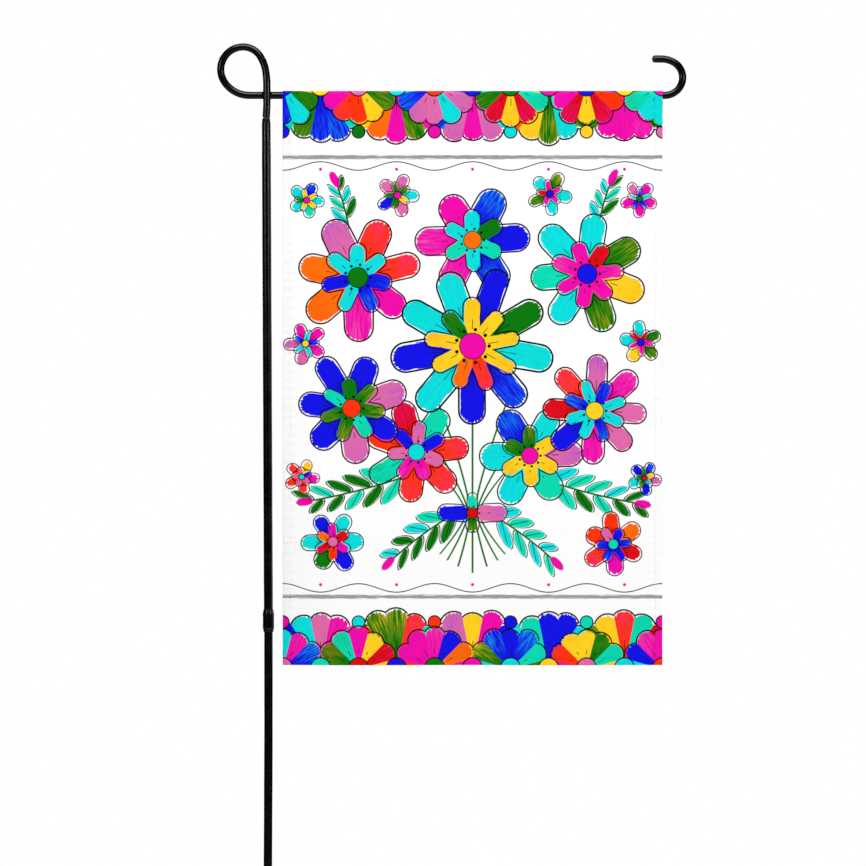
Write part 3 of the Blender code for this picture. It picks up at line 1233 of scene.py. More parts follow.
def make_piece(
    name: str,
    points: np.ndarray,
    faces: Faces,
    material: bpy.types.Material,
    sharp: float = 40.0,
    values: dict[str, np.ndarray] | None = None,
) -> bpy.types.Object:
    """Links one shaded piece that rides on the stand's body.

    Args:
        name: The piece's name.
        points: Its points, one row each.
        faces: Point numbers of each face.
        material: Its finish.
        sharp: Edges bent by more than this many degrees stay crisp.
        values: Numbers or triples for each point, by attribute name.

    Returns:
        The new object.
    """
    mesh = bpy.data.meshes.new(name)
    mesh.from_pydata(points.tolist(), [], faces)
    mesh.update()
    for key, data in (values or {}).items():
        kind, field_name = ("FLOAT_VECTOR", "vector") if data.ndim == 2 else ("FLOAT", "value")
        attribute = mesh.attributes.new(key, kind, "POINT")
        attribute.data.foreach_set(field_name, data.astype(np.float32).ravel())
    mesh.shade_smooth()
    mesh.set_sharp_from_angle(angle=math.radians(sharp))
    mesh.materials.append(material)
    piece = bpy.data.objects.new(name, mesh)
    bpy.context.scene.collection.objects.link(piece)
    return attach(piece, BODY)


def waver(along: np.ndarray, seed: float) -> np.ndarray:
    """Slow fixed unevenness along a rod or tube.

    Args:
        along: Places along it in metres.
        seed: Tells one rod from another.

    Returns:
        A number between about -1 and 1 for each place.
    """
    waves = ((0.031, 0.5), (0.0137, 0.3), (0.0073, 0.2))
    return sum(
        share * np.sin(math.tau * along / length + seed * (index + 1.7))
        for index, (length, share) in enumerate(waves)
    )


def sweep_tube(route: np.ndarray, radii: np.ndarray, sides: int) -> tuple[np.ndarray, Faces]:
    """Sweeps a round section along a route, with flat ends.

    Args:
        route: Centre-line points.
        radii: The section's radius at each point.
        sides: How many sides the section has.

    Returns:
        Points and faces of the closed tube.
    """
    tangents = np.gradient(route, axis=0)
    tangents /= np.linalg.norm(tangents, axis=1)[:, None]
    side = np.cross(tangents[0], (0.0, 1.0, 0.3))
    turns = np.linspace(0.0, math.tau, sides, endpoint=False)
    rings = []
    for centre, tangent, radius in zip(route, tangents, radii):
        side = side - tangent * np.dot(side, tangent)
        side /= np.linalg.norm(side)
        other = np.cross(tangent, side)
        ring = np.outer(np.cos(turns), side) + np.outer(np.sin(turns), other)
        rings.append(centre + radius * ring)
    return np.concatenate(rings), capped_tube(len(route), sides)


def turn_profile(profile: Profile, sides: int, closed: bool) -> tuple[np.ndarray, Faces]:
    """Turns a profile round the Z axis.

    Args:
        profile: Radius and height of each point. It runs up the outside.
        sides: How many sides the turned piece has.
        closed: Whether the profile runs back to its start, as a sleeve's does.

    Returns:
        Points and faces of the closed piece.
    """
    turns = np.linspace(0.0, math.tau, sides, endpoint=False)
    rings = [
        np.column_stack((radius * np.cos(turns), radius * np.sin(turns), np.full(sides, height)))
        for radius, height in profile
    ]
    points = np.concatenate(rings)
    if not closed:
        return points, capped_tube(len(profile), sides)
    quads = grid_quads(len(profile) + 1, sides, closed=True)
    return points, [tuple(corner % len(points) for corner in face) for face in quads]


# Cloth


@dataclass(frozen=True)
class Fold:
    """One soft fold of the hanging panel.

    Place runs across the width from 0 to 1, hem_depth is how far the bottom hem stands back
    there (minus is forward), and begins is where it starts on the drop from seam to hem.
    """

    place: float
    half_width: float
    hem_depth: float
    begins: float


FOLDS = (
    Fold(0.00, 0.048, 0.0030, 0.35),
    Fold(0.22, 0.052, -0.0022, 0.10),
    Fold(0.47, 0.060, 0.0026, 0.20),
    Fold(0.73, 0.056, -0.0024, 0.05),
    Fold(1.00, 0.044, 0.0020, 0.30),
)


class ClothSide(Enum):
    """Which side of the cloth, as the sign of its offset from the middle."""

    PRINTED = 1.0
    WRONG = -1.0


@dataclass(frozen=True)
class StitchRow:
    """One row of stitches: a straight line on the cloth from one point to another."""

    start: tuple[float, float]
    end: tuple[float, float]
    side: ClothSide


@dataclass
class FlagCloth:
    """The flag: one printed panel with turned hems and a pocket sewn round the stand's arm.

    A point of it is named by how far it is across from the left edge and along the cloth, up
    from the bottom hem, over the arm and down to the pocket's sewn edge behind. Layers gap is
    half the room between the pocket's two layers at their seam.
    """

    arm: Vector
    left: float
    width: float = 0.3048
    drop: float = 0.4572
    thickness: float = 0.00042
    rod_radius: float = 0.003
    rod_clearance: float = 0.0001
    layers_gap: float = 0.00002
    pocket_depth: float = 0.048
    allowance: float = 0.008
    hem_width: float = 0.007
    hem_fold: float = 0.00042
    edge_round: float = 0.0003
    hem_step: float = 0.0005
    print_fade: float = 0.003
    ripple: float = 0.00016
    pitch: float = 0.0029
    show_through: float = 0.5
    hem_show_through: float = 0.22
    stitch_pitch: float = 0.0026
    stitch_length: float = 0.0021
    stitch_radius: float = 0.00015
    stitch_inset: float = 0.0013
    seam_inset: float = 0.0008
    lines: dict[str, np.ndarray] = field(default_factory=dict)

    def __post_init__(self) -> None:
        """Works out the section line, as places behind and above the arm's axis."""
        half = 0.5 * self.thickness
        bend = self.rod_radius + self.rod_clearance + half
        apart = half + self.layers_gap
        reach = math.hypot(apart, self.pocket_depth)
        lean = math.asin(bend / reach) - math.atan(apart / self.pocket_depth)
        turns = np.linspace(math.pi + lean, -lean, 40)
        front = [(-apart, -self.drop), (-apart, -self.pocket_depth)]
        over = [(bend * math.cos(turn), bend * math.sin(turn)) for turn in turns]
        back = [(apart, -self.pocket_depth), (apart, -self.pocket_depth - self.allowance)]
        line = np.array(front + over + back)
        steps = np.linalg.norm(np.diff(line, axis=0), axis=1)
        along = np.concatenate(([0.0], np.cumsum(steps)))
        dense = np.linspace(0.0, along[-1], 2400)
        y, z = np.interp(dense, along, line[:, 0]), np.interp(dense, along, line[:, 1])
        dy, dz = np.gradient(y, dense), np.gradient(z, dense)
        self.lines = {"along": dense, "y": y, "z": z, "out_y": -dz, "out_z": dy}
        self.full_length = float(along[-1])
        self.apex = float(dense[np.argmax(z)])
        self.seam = self.drop - self.pocket_depth
        self.back_seam = self.full_length - self.allowance

    def fold_depth(self, across: np.ndarray, z: np.ndarray) -> np.ndarray:
        """Works out the soft folds.

        Args:
            across: Distances from the left edge.
            z: Heights above the arm's axis, minus below it.

        Returns:
            How far the panel stands back at each point.
        """
        down = (-self.pocket_depth - z) / (self.drop - self.pocket_depth)
        depth = np.zeros_like(across)
        for fold in FOLDS:
            aside = np.abs(across - fold.place * self.width) / fold.half_width
            crest = 0.5 + 0.5 * np.cos(math.pi * np.minimum(aside, 1.0))
            fall = smooth_step((down - fold.begins) / (1.0 - fold.begins))
            depth = depth + fold.hem_depth * crest * fall
        ease = smooth_step(down * 6.0)
        ripple = np.sin(across * 61.0 + z * 17.0) + np.sin(across * 29.0 - z * 23.0 + 1.3)
        return depth + self.ripple * ease * ripple

    def offset(self, across: np.ndarray, along: np.ndarray, side: ClothSide) -> np.ndarray:
        """Works out the cloth's half thickness, hems included.

        Args:
            across: Distances from the left edge.
            along: Distances along the cloth from the bottom hem.
            side: Which side.

        Returns:
            How far that side lies from the cloth's middle at each point.
        """
        edge = np.minimum(across, self.width - across)
        end = np.minimum(along, self.full_length - along)
        inward = np.clip(np.minimum(edge, end) / self.edge_round, 0.0, 1.0)
        rounding = 0.25 + 0.75 * np.sqrt(1.0 - (1.0 - inward) ** 2)
        if side is ClothSide.WRONG:
            side_hem = smooth_step((self.hem_width - edge) / self.hem_step)
            foot_hem = smooth_step((self.hem_width - along) / self.hem_step)
            below_flap = smooth_step((self.seam - self.allowance - 0.001 - along) / 0.002)
            extra = (side_hem + foot_hem) * below_flap
        else:
            extra = smooth_step((along - self.back_seam + 0.001) / 0.0006)
        return (0.5 * self.thickness + self.hem_fold * extra) * rounding

    def surface(self, across: np.ndarray, along: np.ndarray, side: ClothSide) -> np.ndarray:
        """Points on one side of the cloth.

        Args:
            across: Distances from the left edge.
            along: Distances along the cloth from the bottom hem.
            side: Which side.

        Returns:
            One row of three coordinates for each point.
        """
        y, z, out_y, out_z = (
            np.interp(along, self.lines["along"], self.lines[key])
            for key in ("y", "z", "out_y", "out_z")
        )
        away = self.offset(across, along, side) * side.value
        depth = self.fold_depth(across, z)
        return np.column_stack(
            (
                self.left + across,
                self.arm.y + y + out_y * away + depth,
                self.arm.z + z + out_z * away,
            )
        )

    def strength(self, across: np.ndarray, along: np.ndarray, side: ClothSide) -> np.ndarray:
        """Works out how strongly the print shows: weaker through one or two layers.

        Args:
            across: Distances from the left edge.
            along: Distances along the cloth from the bottom hem.
            side: Which side.

        Returns:
            A share for each point: 1 on the printed side, up to the print's edge at the top.
        """
        printed = 1.0 - smooth_step((along - self.apex) / self.print_fade)
        if side is ClothSide.PRINTED:
            return printed
        edge = np.minimum(np.minimum(across, self.width - across), along)
        hem = smooth_step((self.hem_width - edge) / 0.0006)
        return (self.show_through + (self.hem_show_through - self.show_through) * hem) * printed

    def places(self, across: np.ndarray, along: np.ndarray, side: ClothSide) -> np.ndarray:
        """Works out the cloth_place values.

        Args:
            across: Distances from the left edge.
            along: Distances along the cloth from the bottom hem.
            side: Which side.

        Returns:
            For each point, millimetres from the middle and from the hem, and the strength.
        """
        return np.column_stack(
            (
                (across - 0.5 * self.width) / MILLIMETRE,
                along / MILLIMETRE,
                self.strength(across, along, side),
            )
        )

    def divisions(self, length: float, marks: Sequence[float]) -> np.ndarray:
        """Places for rows or columns of points: an even pitch, closer beside each mark.

        Args:
            length: The cloth's whole width or length.
            marks: Where its surface steps or bends.

        Returns:
            The places in order, from 0 to the length.
        """
        even = np.linspace(0.0, length, round(length / self.pitch) + 1)
        round_off = (0.0, 0.00008, self.edge_round)
        close = [value for near in round_off for value in (near, length - near)]
        close += [mark + shift for mark in marks for shift in (-0.0006, 0.0, 0.0003)]
        close = np.array([value for value in close if 0.0 <= value <= length])
        gaps = np.abs(even[:, None] - close[None, :]).min(axis=1)
        return np.unique(np.concatenate((even[gaps > 0.4 * self.pitch], close)))

    def build(self, material: bpy.types.Material) -> bpy.types.Object:
        """Makes the sewn cloth as one closed thin mesh.

        Args:
            material: The printed finish.

        Returns:
            The flag's object.
        """
        columns = self.divisions(self.width, (self.hem_width, self.width - self.hem_width))
        arc = np.linspace(self.apex - 0.0062, self.apex + 0.0062, 15)
        marks = (self.hem_width, self.seam, self.back_seam - 0.001, *arc)
        rows = self.divisions(self.full_length, marks)
        rows = rows[np.concatenate(([True], np.diff(rows) > 0.00006))]
        across, along = (grid.ravel() for grid in np.meshgrid(columns, rows))
        wide, tall = len(columns), len(rows)
        sides = (ClothSide.PRINTED, ClothSide.WRONG)
        points = np.concatenate([self.surface(across, along, side) for side in sides])
        places = np.concatenate([self.places(across, along, side) for side in sides])
        under = wide * tall
        faces = grid_quads(tall, wide, closed=False)
        faces += [face[::-1] for face in grid_quads(tall, wide, closed=False, first=under)]
        rim = list(range(wide))
        rim += [row * wide + wide - 1 for row in range(1, tall)]
        rim += [(tall - 1) * wide + column for column in range(wide - 2, -1, -1)]
        rim += [row * wide for row in range(tall - 2, 0, -1)]
        for here, there in zip(rim, rim[1:] + rim[:1]):
            faces.append((there, here, here + under, there + under))
        values = {"cloth_place": places}
        cloth = make_piece("flag_cloth_sewn", points, faces, material, sharp=60.0, values=values)
        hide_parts("flag_cloth")
        return cloth

    def stitch_rows(self) -> list[StitchRow]:
        """Lays out the seams: pocket seam, side hems and bottom hem, on both sides.

        Returns:
            The rows of stitches. Those of the hems leave the bend over the arm free.
        """
        end_gap, bend_gap = 0.001, 0.004
        inset = self.hem_width - self.stitch_inset
        right = self.width - inset
        seam, flap = self.seam - self.seam_inset, self.back_seam + self.seam_inset
        panel_top = self.seam - self.allowance - 0.0018
        printed, wrong = ClothSide.PRINTED, ClothSide.WRONG
        rows = [
            StitchRow((end_gap, up), (self.width - end_gap, up), printed) for up in (seam, flap)
        ]
        rows += [StitchRow((inset, inset), (right, inset), side) for side in (printed, wrong)]
        for place in (inset, right):
            rows += [
                StitchRow((place, inset), (place, self.apex - bend_gap), printed),
                StitchRow((place, self.apex + bend_gap), (place, flap), printed),
                StitchRow((place, inset), (place, panel_top), wrong),
            ]
        return rows

    def stitch_shape(self) -> tuple[np.ndarray, Faces]:
        """Shapes one stitch as a small closed arch.

        Returns:
            Its points, each by how far it is along, beside and above the cloth, and its faces.
        """
        sides, rings = 6, 5
        turns = np.linspace(0.0, math.tau, sides, endpoint=False)
        points = []
        for share in np.linspace(-1.0, 1.0, rings):
            radius = self.stitch_radius * (1.0 - 0.45 * share**4)
            height = self.stitch_radius * (0.5 - 1.3 * share**4)
            for turn in turns:
                along = 0.5 * self.stitch_length * share
                points.append((along, radius * math.cos(turn), height + radius * math.sin(turn)))
        return np.array(points), capped_tube(rings, sides)

    def stitch_axes(self, centre: np.ndarray, heading: np.ndarray, side: ClothSide) -> np.ndarray:
        """Finds how a stitch lies on the cloth.

        Args:
            centre: Its middle, across and along the cloth.
            heading: The way its row runs there.
            side: Which side it is on.

        Returns:
            Its middle in space, then the directions along, beside and out of the cloth.
        """
        nudge = 0.0004
        beside = np.array((-heading[1], heading[0]))
        probe = np.array([centre, centre + heading * nudge, centre + beside * nudge])
        here, ahead, aside = self.surface(probe[:, 0], probe[:, 1], side)
        forward = (ahead - here) / np.linalg.norm(ahead - here)
        up = np.cross(forward, aside - here) * side.value
        up /= np.linalg.norm(up)
        return np.array((here, forward, np.cross(up, forward), up))

    def build_stitching(self, material: bpy.types.Material) -> bpy.types.Object:
        """Makes all visible stitches as one joined mesh.

        Args:
            material: The printed finish, since the blank was sewn before it was printed.

        Returns:
            The stitching's object.
        """
        shape, shape_faces = self.stitch_shape()
        points, faces, places = [], [], []
        for row in self.stitch_rows():
            start, end = np.array(row.start), np.array(row.end)
            length = float(np.linalg.norm(end - start))
            heading = (end - start) / length
            count = int(length // self.stitch_pitch)
            for index in range(count):
                centre = start + heading * (index + 0.5) * length / count
                middle, *directions = self.stitch_axes(centre, heading, row.side)
                first = len(points) * len(shape)
                points.append(middle + shape @ np.array(directions))
                faces += [tuple(corner + first for corner in face) for face in shape_faces]
                place = self.places(centre[:1], centre[1:], row.side)
                places.append(np.repeat(place, len(shape), axis=0))
        joined, values = np.concatenate(points), {"cloth_place": np.concatenate(places)}
        thread = make_piece("flag_stitching", joined, faces, material, sharp=80.0, values=values)
        return thread

    def finish(self) -> PrintedPolyester:
        """Fits the cloth's finish to its seams.

        Returns:
            The printed polyester.
        """
        design = PosyPrint(top=self.apex / MILLIMETRE, width=self.width / MILLIMETRE)
        hem_line = (self.hem_width - self.stitch_inset) / MILLIMETRE
        return PrintedPolyester(design, hem_line, (self.seam - self.seam_inset) / MILLIMETRE)


# Stand


@dataclass(frozen=True)
class Bend:
    """One bend of the rod: its radius and how many degrees it turns."""

    radius: float
    degrees: float


@dataclass(frozen=True)
class Rub:
    """Wear of the coat beside one edge: how strong, where, and how far it fades out."""

    strength: float
    edge: float
    reach: float

    def at(self, places: np.ndarray) -> np.ndarray:
        """How much the coat is rubbed at places counted as the edge's is."""
        return self.strength * np.exp(-np.abs(places - self.edge) / self.reach)


@dataclass
class Stand:
    """The coated steel stand: hanger rod with its weld, two pole lengths, collar and stake."""

    arm: Vector
    coat: bpy.types.Material
    rod_radius: float = 0.003
    upright_below_arm: float = 0.0185
    loop_bends: tuple[Bend, ...] = (
        Bend(0.0715, 8.6),
        Bend(0.0324, 22.1),
        Bend(0.0166, 59.3),
        Bend(0.0179, 121.7),
        Bend(0.0237, 58.3),
    )
    hook_start: float = 0.3190
    hook_bends: tuple[Bend, ...] = (
        Bend(0.01443, 68.7),
        Bend(0.0141, 82.1),
        Bend(0.0201, 29.2),
    )
    hook_tail: float = 0.0075
    weld_half: tuple[float, float, float] = (0.0045, 0.0036, 0.0043)
    end_round: float = 0.0022
    spigot_radius: float = 0.0023
    spigot_length: float = 0.022
    joint_gap: float = 0.0003
    pole_radius: float = 0.0036
    lower_radius: float = 0.0034
    socket_radius: float = 0.0035
    collar_height: float = 0.3157
    collar_radius: float = 0.0045
    lower_lean: tuple[tuple[float, float], ...] = ((0.0, 0.0), (0.130, 0.0009), (0.220, 0.0013))
    collar_lean: float = 0.0013
    socket_lean: float = -0.0005
    prong_depth: float = 0.135
    prong_point: float = 0.028
    side_prong_x: float = 0.070
    side_prong_head: float = 0.0075
    step_width: float = 0.016
    step_thickness: float = 0.003
    unevenness: float = 0.014
    soil_wear_depth: float = 0.09
    rod_sides: int = 28
    pole_sides: int = 40
    route_pitch: float = 0.0016

    @property
    def pole_top(self) -> float:
        """Height of the upper pole's mouth."""
        return self.arm.z - self.upright_below_arm - self.joint_gap

    def lean_at(self, z: np.ndarray) -> np.ndarray:
        """Works out how far the pole's axis stands to the right.

        Args:
            z: Heights.

        Returns:
            A distance for each height.
        """
        levels, leans = zip(
            *self.lower_lean,
            (self.collar_height, self.collar_lean),
            (self.pole_top, self.socket_lean),
            (self.pole_top + 0.010, 0.0),
        )
        return np.interp(z, levels, leans)

    def follow_bends(self, heading: float, bends: Sequence[Bend]) -> np.ndarray:
        """Follows a line that starts at zero with a heading and takes each bend in turn.

        Args:
            heading: Starting direction in radians, turning from +X towards +Z.
            bends: The bends in order.

        Returns:
            Places across and up, one row each.
        """
        places = [(0.0, 0.0)]
        for bend in bends:
            steps = max(4, round(bend.radius * math.radians(bend.degrees) / self.route_pitch))
            half = 0.5 * math.radians(bend.degrees) / steps
            chord = 2.0 * bend.radius * math.sin(half)
            for _ in range(steps):
                heading += half
                x, z = places[-1]
                places.append((x + chord * math.cos(heading), z + chord * math.sin(heading)))
                heading += half
        return np.array(places)

    def hanger_route(self) -> np.ndarray:
        """Lays out the bent rod's centre line from the pole's mouth to the end of the hook.

        Returns:
            Its points, closer together towards the end of the hook.
        """
        loop = self.follow_bends(0.5 * math.pi, self.loop_bends)
        loop[:, 1] -= loop[-1, 1]
        lengths = np.linalg.norm(np.diff(loop, axis=0), axis=1)
        share = np.concatenate(([0.0], np.cumsum(lengths))) / lengths.sum()
        loop = np.column_stack((loop[:, 0], self.arm.y * smooth_step(share), loop[:, 1]))
        foot = -self.upright_below_arm + self.joint_gap
        rise = np.arange(foot, loop[0, 2] - 0.0008, self.route_pitch)
        lean = self.lean_at(rise + self.arm.z)
        upright = np.column_stack((lean, np.zeros_like(rise), rise))
        run = np.arange(loop[-1, 0] + 0.002, self.hook_start - 0.001, 2.0 * self.route_pitch)
        level = np.column_stack((run, np.full_like(run, self.arm.y), np.zeros_like(run)))
        bends = self.follow_bends(0.0, self.hook_bends)
        hook = np.column_stack(
            (
                self.hook_start + bends[:, 0],
                np.full(len(bends), self.arm.y),
                bends[:, 1],
            )
        )
        shares = 1.0 - (1.0 - np.linspace(0.0, 1.0, 15)[1:]) ** 1.6
        tail = hook[-1] - np.outer(self.hook_tail * shares, (1.0, 0.0, 0.0))
        return np.concatenate((upright, loop, level, hook, tail)) + (0.0, 0.0, self.arm.z)

    def build_hanger(self) -> bpy.types.Object:
        """Makes the bent rod with its slimmer foot and its round hook end.

        Returns:
            The hanger's object.
        """
        route = self.hanger_route()
        steps = np.linalg.norm(np.diff(route, axis=0), axis=1)
        along = np.concatenate(([0.0], np.cumsum(steps)))
        left = along[-1] - along
        radii = self.rod_radius * (1.0 + self.unevenness * waver(along, 2.0))
        corner = self.end_round
        inward = np.clip(corner - left, 0.0, corner)
        radii = radii - corner + np.sqrt(corner**2 - inward**2)
        foot = route[0] - (0.0, 0.0, 0.00002)
        end = foot - (0.0, 0.0, self.spigot_length - 0.001)
        end[0] = self.lean_at(end[2])
        route = np.concatenate(((end, foot), route))
        radii = np.concatenate(([self.spigot_radius] * 2, radii))
        points, faces = sweep_tube(route, radii, self.rod_sides)
        rubbing = np.zeros(len(route))
        rubbing[2:] = Rub(1.0, 0.0, 0.004).at(left) + Rub(0.8, 0.0, 0.003).at(along)
        values = {"rubbing": np.repeat(rubbing, self.rod_sides)}
        hanger = make_piece("hanger_rod", points, faces, self.coat, sharp=50.0, values=values)
        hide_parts("hanger")
        return hanger

    def build_weld(self) -> bpy.types.Object:
        """Makes the lumpy bead where the arm passes behind the upright.

        Returns:
            The bead's object.
        """
        rows, sides = 15, 26
        half = Vector(self.weld_half)
        middle = Vector((0.0, 0.5 * self.arm.y + 0.0002, self.arm.z))
        points = []
        for row in range(rows):
            polar = math.pi * (row + 0.5) / rows
            for step in range(sides):
                turn = math.tau * step / sides
                lump = 1.0 + 0.06 * math.sin(3.0 * turn + 1.0) * math.sin(2.0 * polar)
                lump += 0.04 * math.sin(5.0 * turn + 3.0 * polar)
                ring = math.sin(polar)
                ball = Vector((ring * math.cos(turn), -math.cos(polar), ring * math.sin(turn)))
                points.append(middle + lump * half * ball)
        faces = [face[::-1] for face in capped_tube(rows, sides)]
        bead = make_piece("weld_bead", np.array(points), faces, self.coat, sharp=80.0)
        return bead

    def turned(
        self,
        name: str,
        node: str,
        profile: Profile,
        rubs: Sequence[Rub] = (),
        closed: bool = False,
    ) -> bpy.types.Object:
        """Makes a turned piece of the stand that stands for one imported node.

        Args:
            name: The piece's name.
            node: The node that it replaces.
            profile: Radius and height of each point up the outside.
            rubs: Where other parts rub its coat, beside the wear that soil gives it.
            closed: Whether the profile is a closed ring.

        Returns:
            The piece's object.
        """
        points, faces = turn_profile(profile, self.pole_sides, closed)
        points[:, 0] += self.lean_at(points[:, 2])
        heights = points[:, 2]
        soil = np.clip(-heights / self.soil_wear_depth, 0.0, 1.0)
        worn = np.max([rub.at(heights) for rub in rubs], axis=0, initial=0.0)
        values = {"rubbing": soil + worn}
        piece = make_piece(name, points, faces, self.coat, sharp=38.0, values=values)
        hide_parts(node)
        return piece

    def length_profile(self, radius: float, low: float, high: float, seed: float) -> Profile:
        """Works out a length of pole or prong, slightly uneven as rolled tube is.

        Args:
            radius: Its radius.
            low: Height of its lower end.
            high: Height of its upper end.
            seed: Tells one length from another.

        Returns:
            Radius and height of each point up it.
        """
        heights = np.linspace(low, high, max(3, round((high - low) / 0.006)))
        ease = np.minimum(heights - low, high - heights) / 0.01
        uneven = self.unevenness * waver(heights * 0.35, seed) * np.clip(ease, 0.0, 1.0)
        radii = radius * (1.0 + uneven)
        return list(zip(radii.tolist(), heights.tolist()))

    def build_upper_pole(self) -> bpy.types.Object:
        """Makes the upper pole, whose mouth is swaged in round the hanger's foot.

        Returns:
            The pole's object.
        """
        top, bottom = self.pole_top, self.collar_height + 0.5 * self.joint_gap
        wall, deep = 0.0026, 0.0225
        profile = [(wall, bottom + deep), (wall, bottom)]
        profile += self.length_profile(self.pole_radius, bottom, top - 0.030, 1.0)
        socket = self.socket_radius
        profile += [
            (self.pole_radius, top - 0.0280),
            (socket + 0.00004, top - 0.0240),
            (socket - 0.00002, top - 0.0160),
            (socket, top - 0.0100),
            (socket, top - 0.0050),
            (socket - 0.00006, top - 0.0036),
            (socket - 0.0002, top - 0.0024),
            (socket - 0.00036, top - 0.0012),
            (socket - 0.00046, top - 0.0004),
            (socket - 0.00056, top),
            (wall, top),
            (wall, top - deep),
        ]
        rubs = (Rub(0.8, top, 0.002), Rub(0.5, bottom, 0.02))
        return self.turned("pole_upper_tube", "pole_upper", profile, rubs)

    def build_collar(self) -> bpy.types.Object:
        """Makes the coupling sleeve, with a short upper taper, a longer lower one, and rolled edges.

        Returns:
            The sleeve's object.
        """
        inner, outer = self.pole_radius + 0.00015, self.collar_radius
        middle = self.collar_height
        profile = [
            (inner, middle - 0.0090),
            (inner + 0.0001, middle - 0.0091),
            (inner + 0.00025, middle - 0.0088),
            (outer - 0.0004, middle - 0.0074),
            (outer - 0.0001, middle - 0.0062),
            (outer + 0.00006, middle - 0.0050),
            (outer, middle - 0.0036),
            (outer - 0.00004, middle),
            (outer - 0.00002, middle + 0.0030),
            (outer + 0.00009, middle + 0.0044),
            (outer + 0.00006, middle + 0.0056),
            (outer - 0.00012, middle + 0.0066),
            (outer - 0.00036, middle + 0.0075),
            (inner + 0.0003, middle + 0.0086),
            (inner + 0.0001, middle + 0.0091),
            (inner, middle + 0.0090),
        ]
        rubs = [Rub(0.7, middle + shoulder, 0.0012) for shoulder in (-0.006, 0.006)]
        return self.turned("collar_sleeve", "collar", profile, rubs, closed=True)

    def prong_profile(self, radius: float, top: float, seed: float) -> Profile:
        """Works out a prong from its blunt point up to its upper edge.

        Args:
            radius: The prong's radius.
            top: Height of its upper edge.
            seed: Tells one prong from another.

        Returns:
            Radius and height of each point up the outside.
        """
        blunt, point = 0.0006, -self.prong_depth
        shoulder = point + self.prong_point
        profile = [
            (0.3 * blunt, point),
            (0.8 * blunt, point + 0.2 * blunt),
            (blunt, point + 0.8 * blunt),
            (0.55 * radius, point + 0.5 * self.prong_point),
            (0.93 * radius, shoulder - 0.002),
        ]
        profile += self.length_profile(radius, shoulder, top - 0.0006, seed)
        return profile + [(radius - 0.00015, top - 0.0002), (radius - 0.0005, top)]

    def build_lower_pole(self) -> bpy.types.Object:
        """Makes the lower pole, which is the main prong at its foot and a spigot at its top.

        Returns:
            The pole's object.
        """
        top = self.collar_height - 0.5 * self.joint_gap
        tip = top + self.spigot_length
        profile = self.prong_profile(self.lower_radius, top, 4.0)
        profile += [
            (self.spigot_radius, top),
            (self.spigot_radius, tip - 0.0005),
            (self.spigot_radius - 0.0005, tip),
        ]
        return self.turned("pole_lower_rod", "pole_lower", profile)

    def build_side_prong(self) -> bpy.types.Object:
        """Makes the second prong, beside the pole.

        Returns:
            The prong's object.
        """
        profile = self.prong_profile(self.rod_radius, self.side_prong_head, 6.0)
        rubs = [Rub(0.7, self.side_prong_head, 0.0015)]
        piece = self.turned("side_prong_rod", "side_prong", profile, rubs)
        piece.data.transform(Matrix.Translation((self.side_prong_x, 0.0, 0.0)))
        return piece

    def step_outlines(self, ease: float) -> list[list[tuple[float, float]]]:
        """Draws the step bar from above.

        Args:
            ease: How far its edges are rounded off outside what is drawn.

        Returns:
            Its rim with round ends, and the rim of each prong's hole.
        """
        half = 0.5 * self.step_width - ease
        ends = ((self.side_prong_x, -0.5 * math.pi), (0.0, 0.5 * math.pi))
        rim = [
            (x + half * math.cos(turn), half * math.sin(turn))
            for x, start in ends
            for turn in np.linspace(start, start + math.pi, 28)
        ]
        outlines = [rim]
        for x, radius in ((0.0, self.lower_radius), (self.side_prong_x, self.rod_radius)):
            size = radius + self.joint_gap + ease
            turns = np.linspace(0.0, math.tau, 40, endpoint=False)
            outlines.append([(x + size * math.cos(t), size * math.sin(t)) for t in turns])
        return outlines

    def build_step_plate(self) -> bpy.types.Object:
        """Makes the flat bar with round ends, eased edges and a hole for each prong.

        Returns:
            The bar's object.
        """
        ease = 0.0004
        curve = bpy.data.curves.new("step_outline", "CURVE")
        curve.dimensions = "2D"
        curve.fill_mode = "BOTH"
        curve.extrude = 0.5 * self.step_thickness - ease
        curve.bevel_depth = ease
        curve.bevel_resolution = 2
        for outline in self.step_outlines(ease):
            spline = curve.splines.new("POLY")
            spline.points.add(len(outline) - 1)
            for point, (x, y) in zip(spline.points, outline):
                point.co = (x, y, 0.0, 1.0)
            spline.use_cyclic_u = True
        guide = bpy.data.objects.new("step_outline", curve)
        bpy.context.scene.collection.objects.link(guide)
        evaluated = guide.evaluated_get(bpy.context.evaluated_depsgraph_get())
        mesh = bpy.data.meshes.new_from_object(evaluated)
        bpy.data.objects.remove(guide, do_unlink=True)
        points = np.array([point.co for point in mesh.vertices])
        points[:, 2] += 0.5 * self.step_thickness
        faces = [tuple(face.vertices) for face in mesh.polygons]
        past_end = points[:, 0] - np.clip(points[:, 0], 0.0, self.side_prong_x)
        edge = Rub(0.9, 0.5 * self.step_width, 0.0012)
        values = {"rubbing": edge.at(np.hypot(past_end, points[:, 1]))}
        plate = make_piece("step_plate", points, faces, self.coat, sharp=50.0, values=values)
        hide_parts("step_bar")
        return plate

    def build(self) -> dict[str, bpy.types.Object]:
        """Builds every piece of the stand.

        Returns:
            The pieces by their part in the stand.
        """
        return {
            "hanger": self.build_hanger(),
            "weld": self.build_weld(),
            "upper pole": self.build_upper_pole(),
            "collar": self.build_collar(),
            "lower pole": self.build_lower_pole(),
            "step plate": self.build_step_plate(),
            "side prong": self.build_side_prong(),
        }


# Studio


@dataclass(frozen=True)
class SoftLight:
    """One rectangular soft light, aimed at a point of the flag."""

    name: str
    place: tuple[float, float, float]
    aim: tuple[float, float, float]
    size: tuple[float, float]
    watts: float


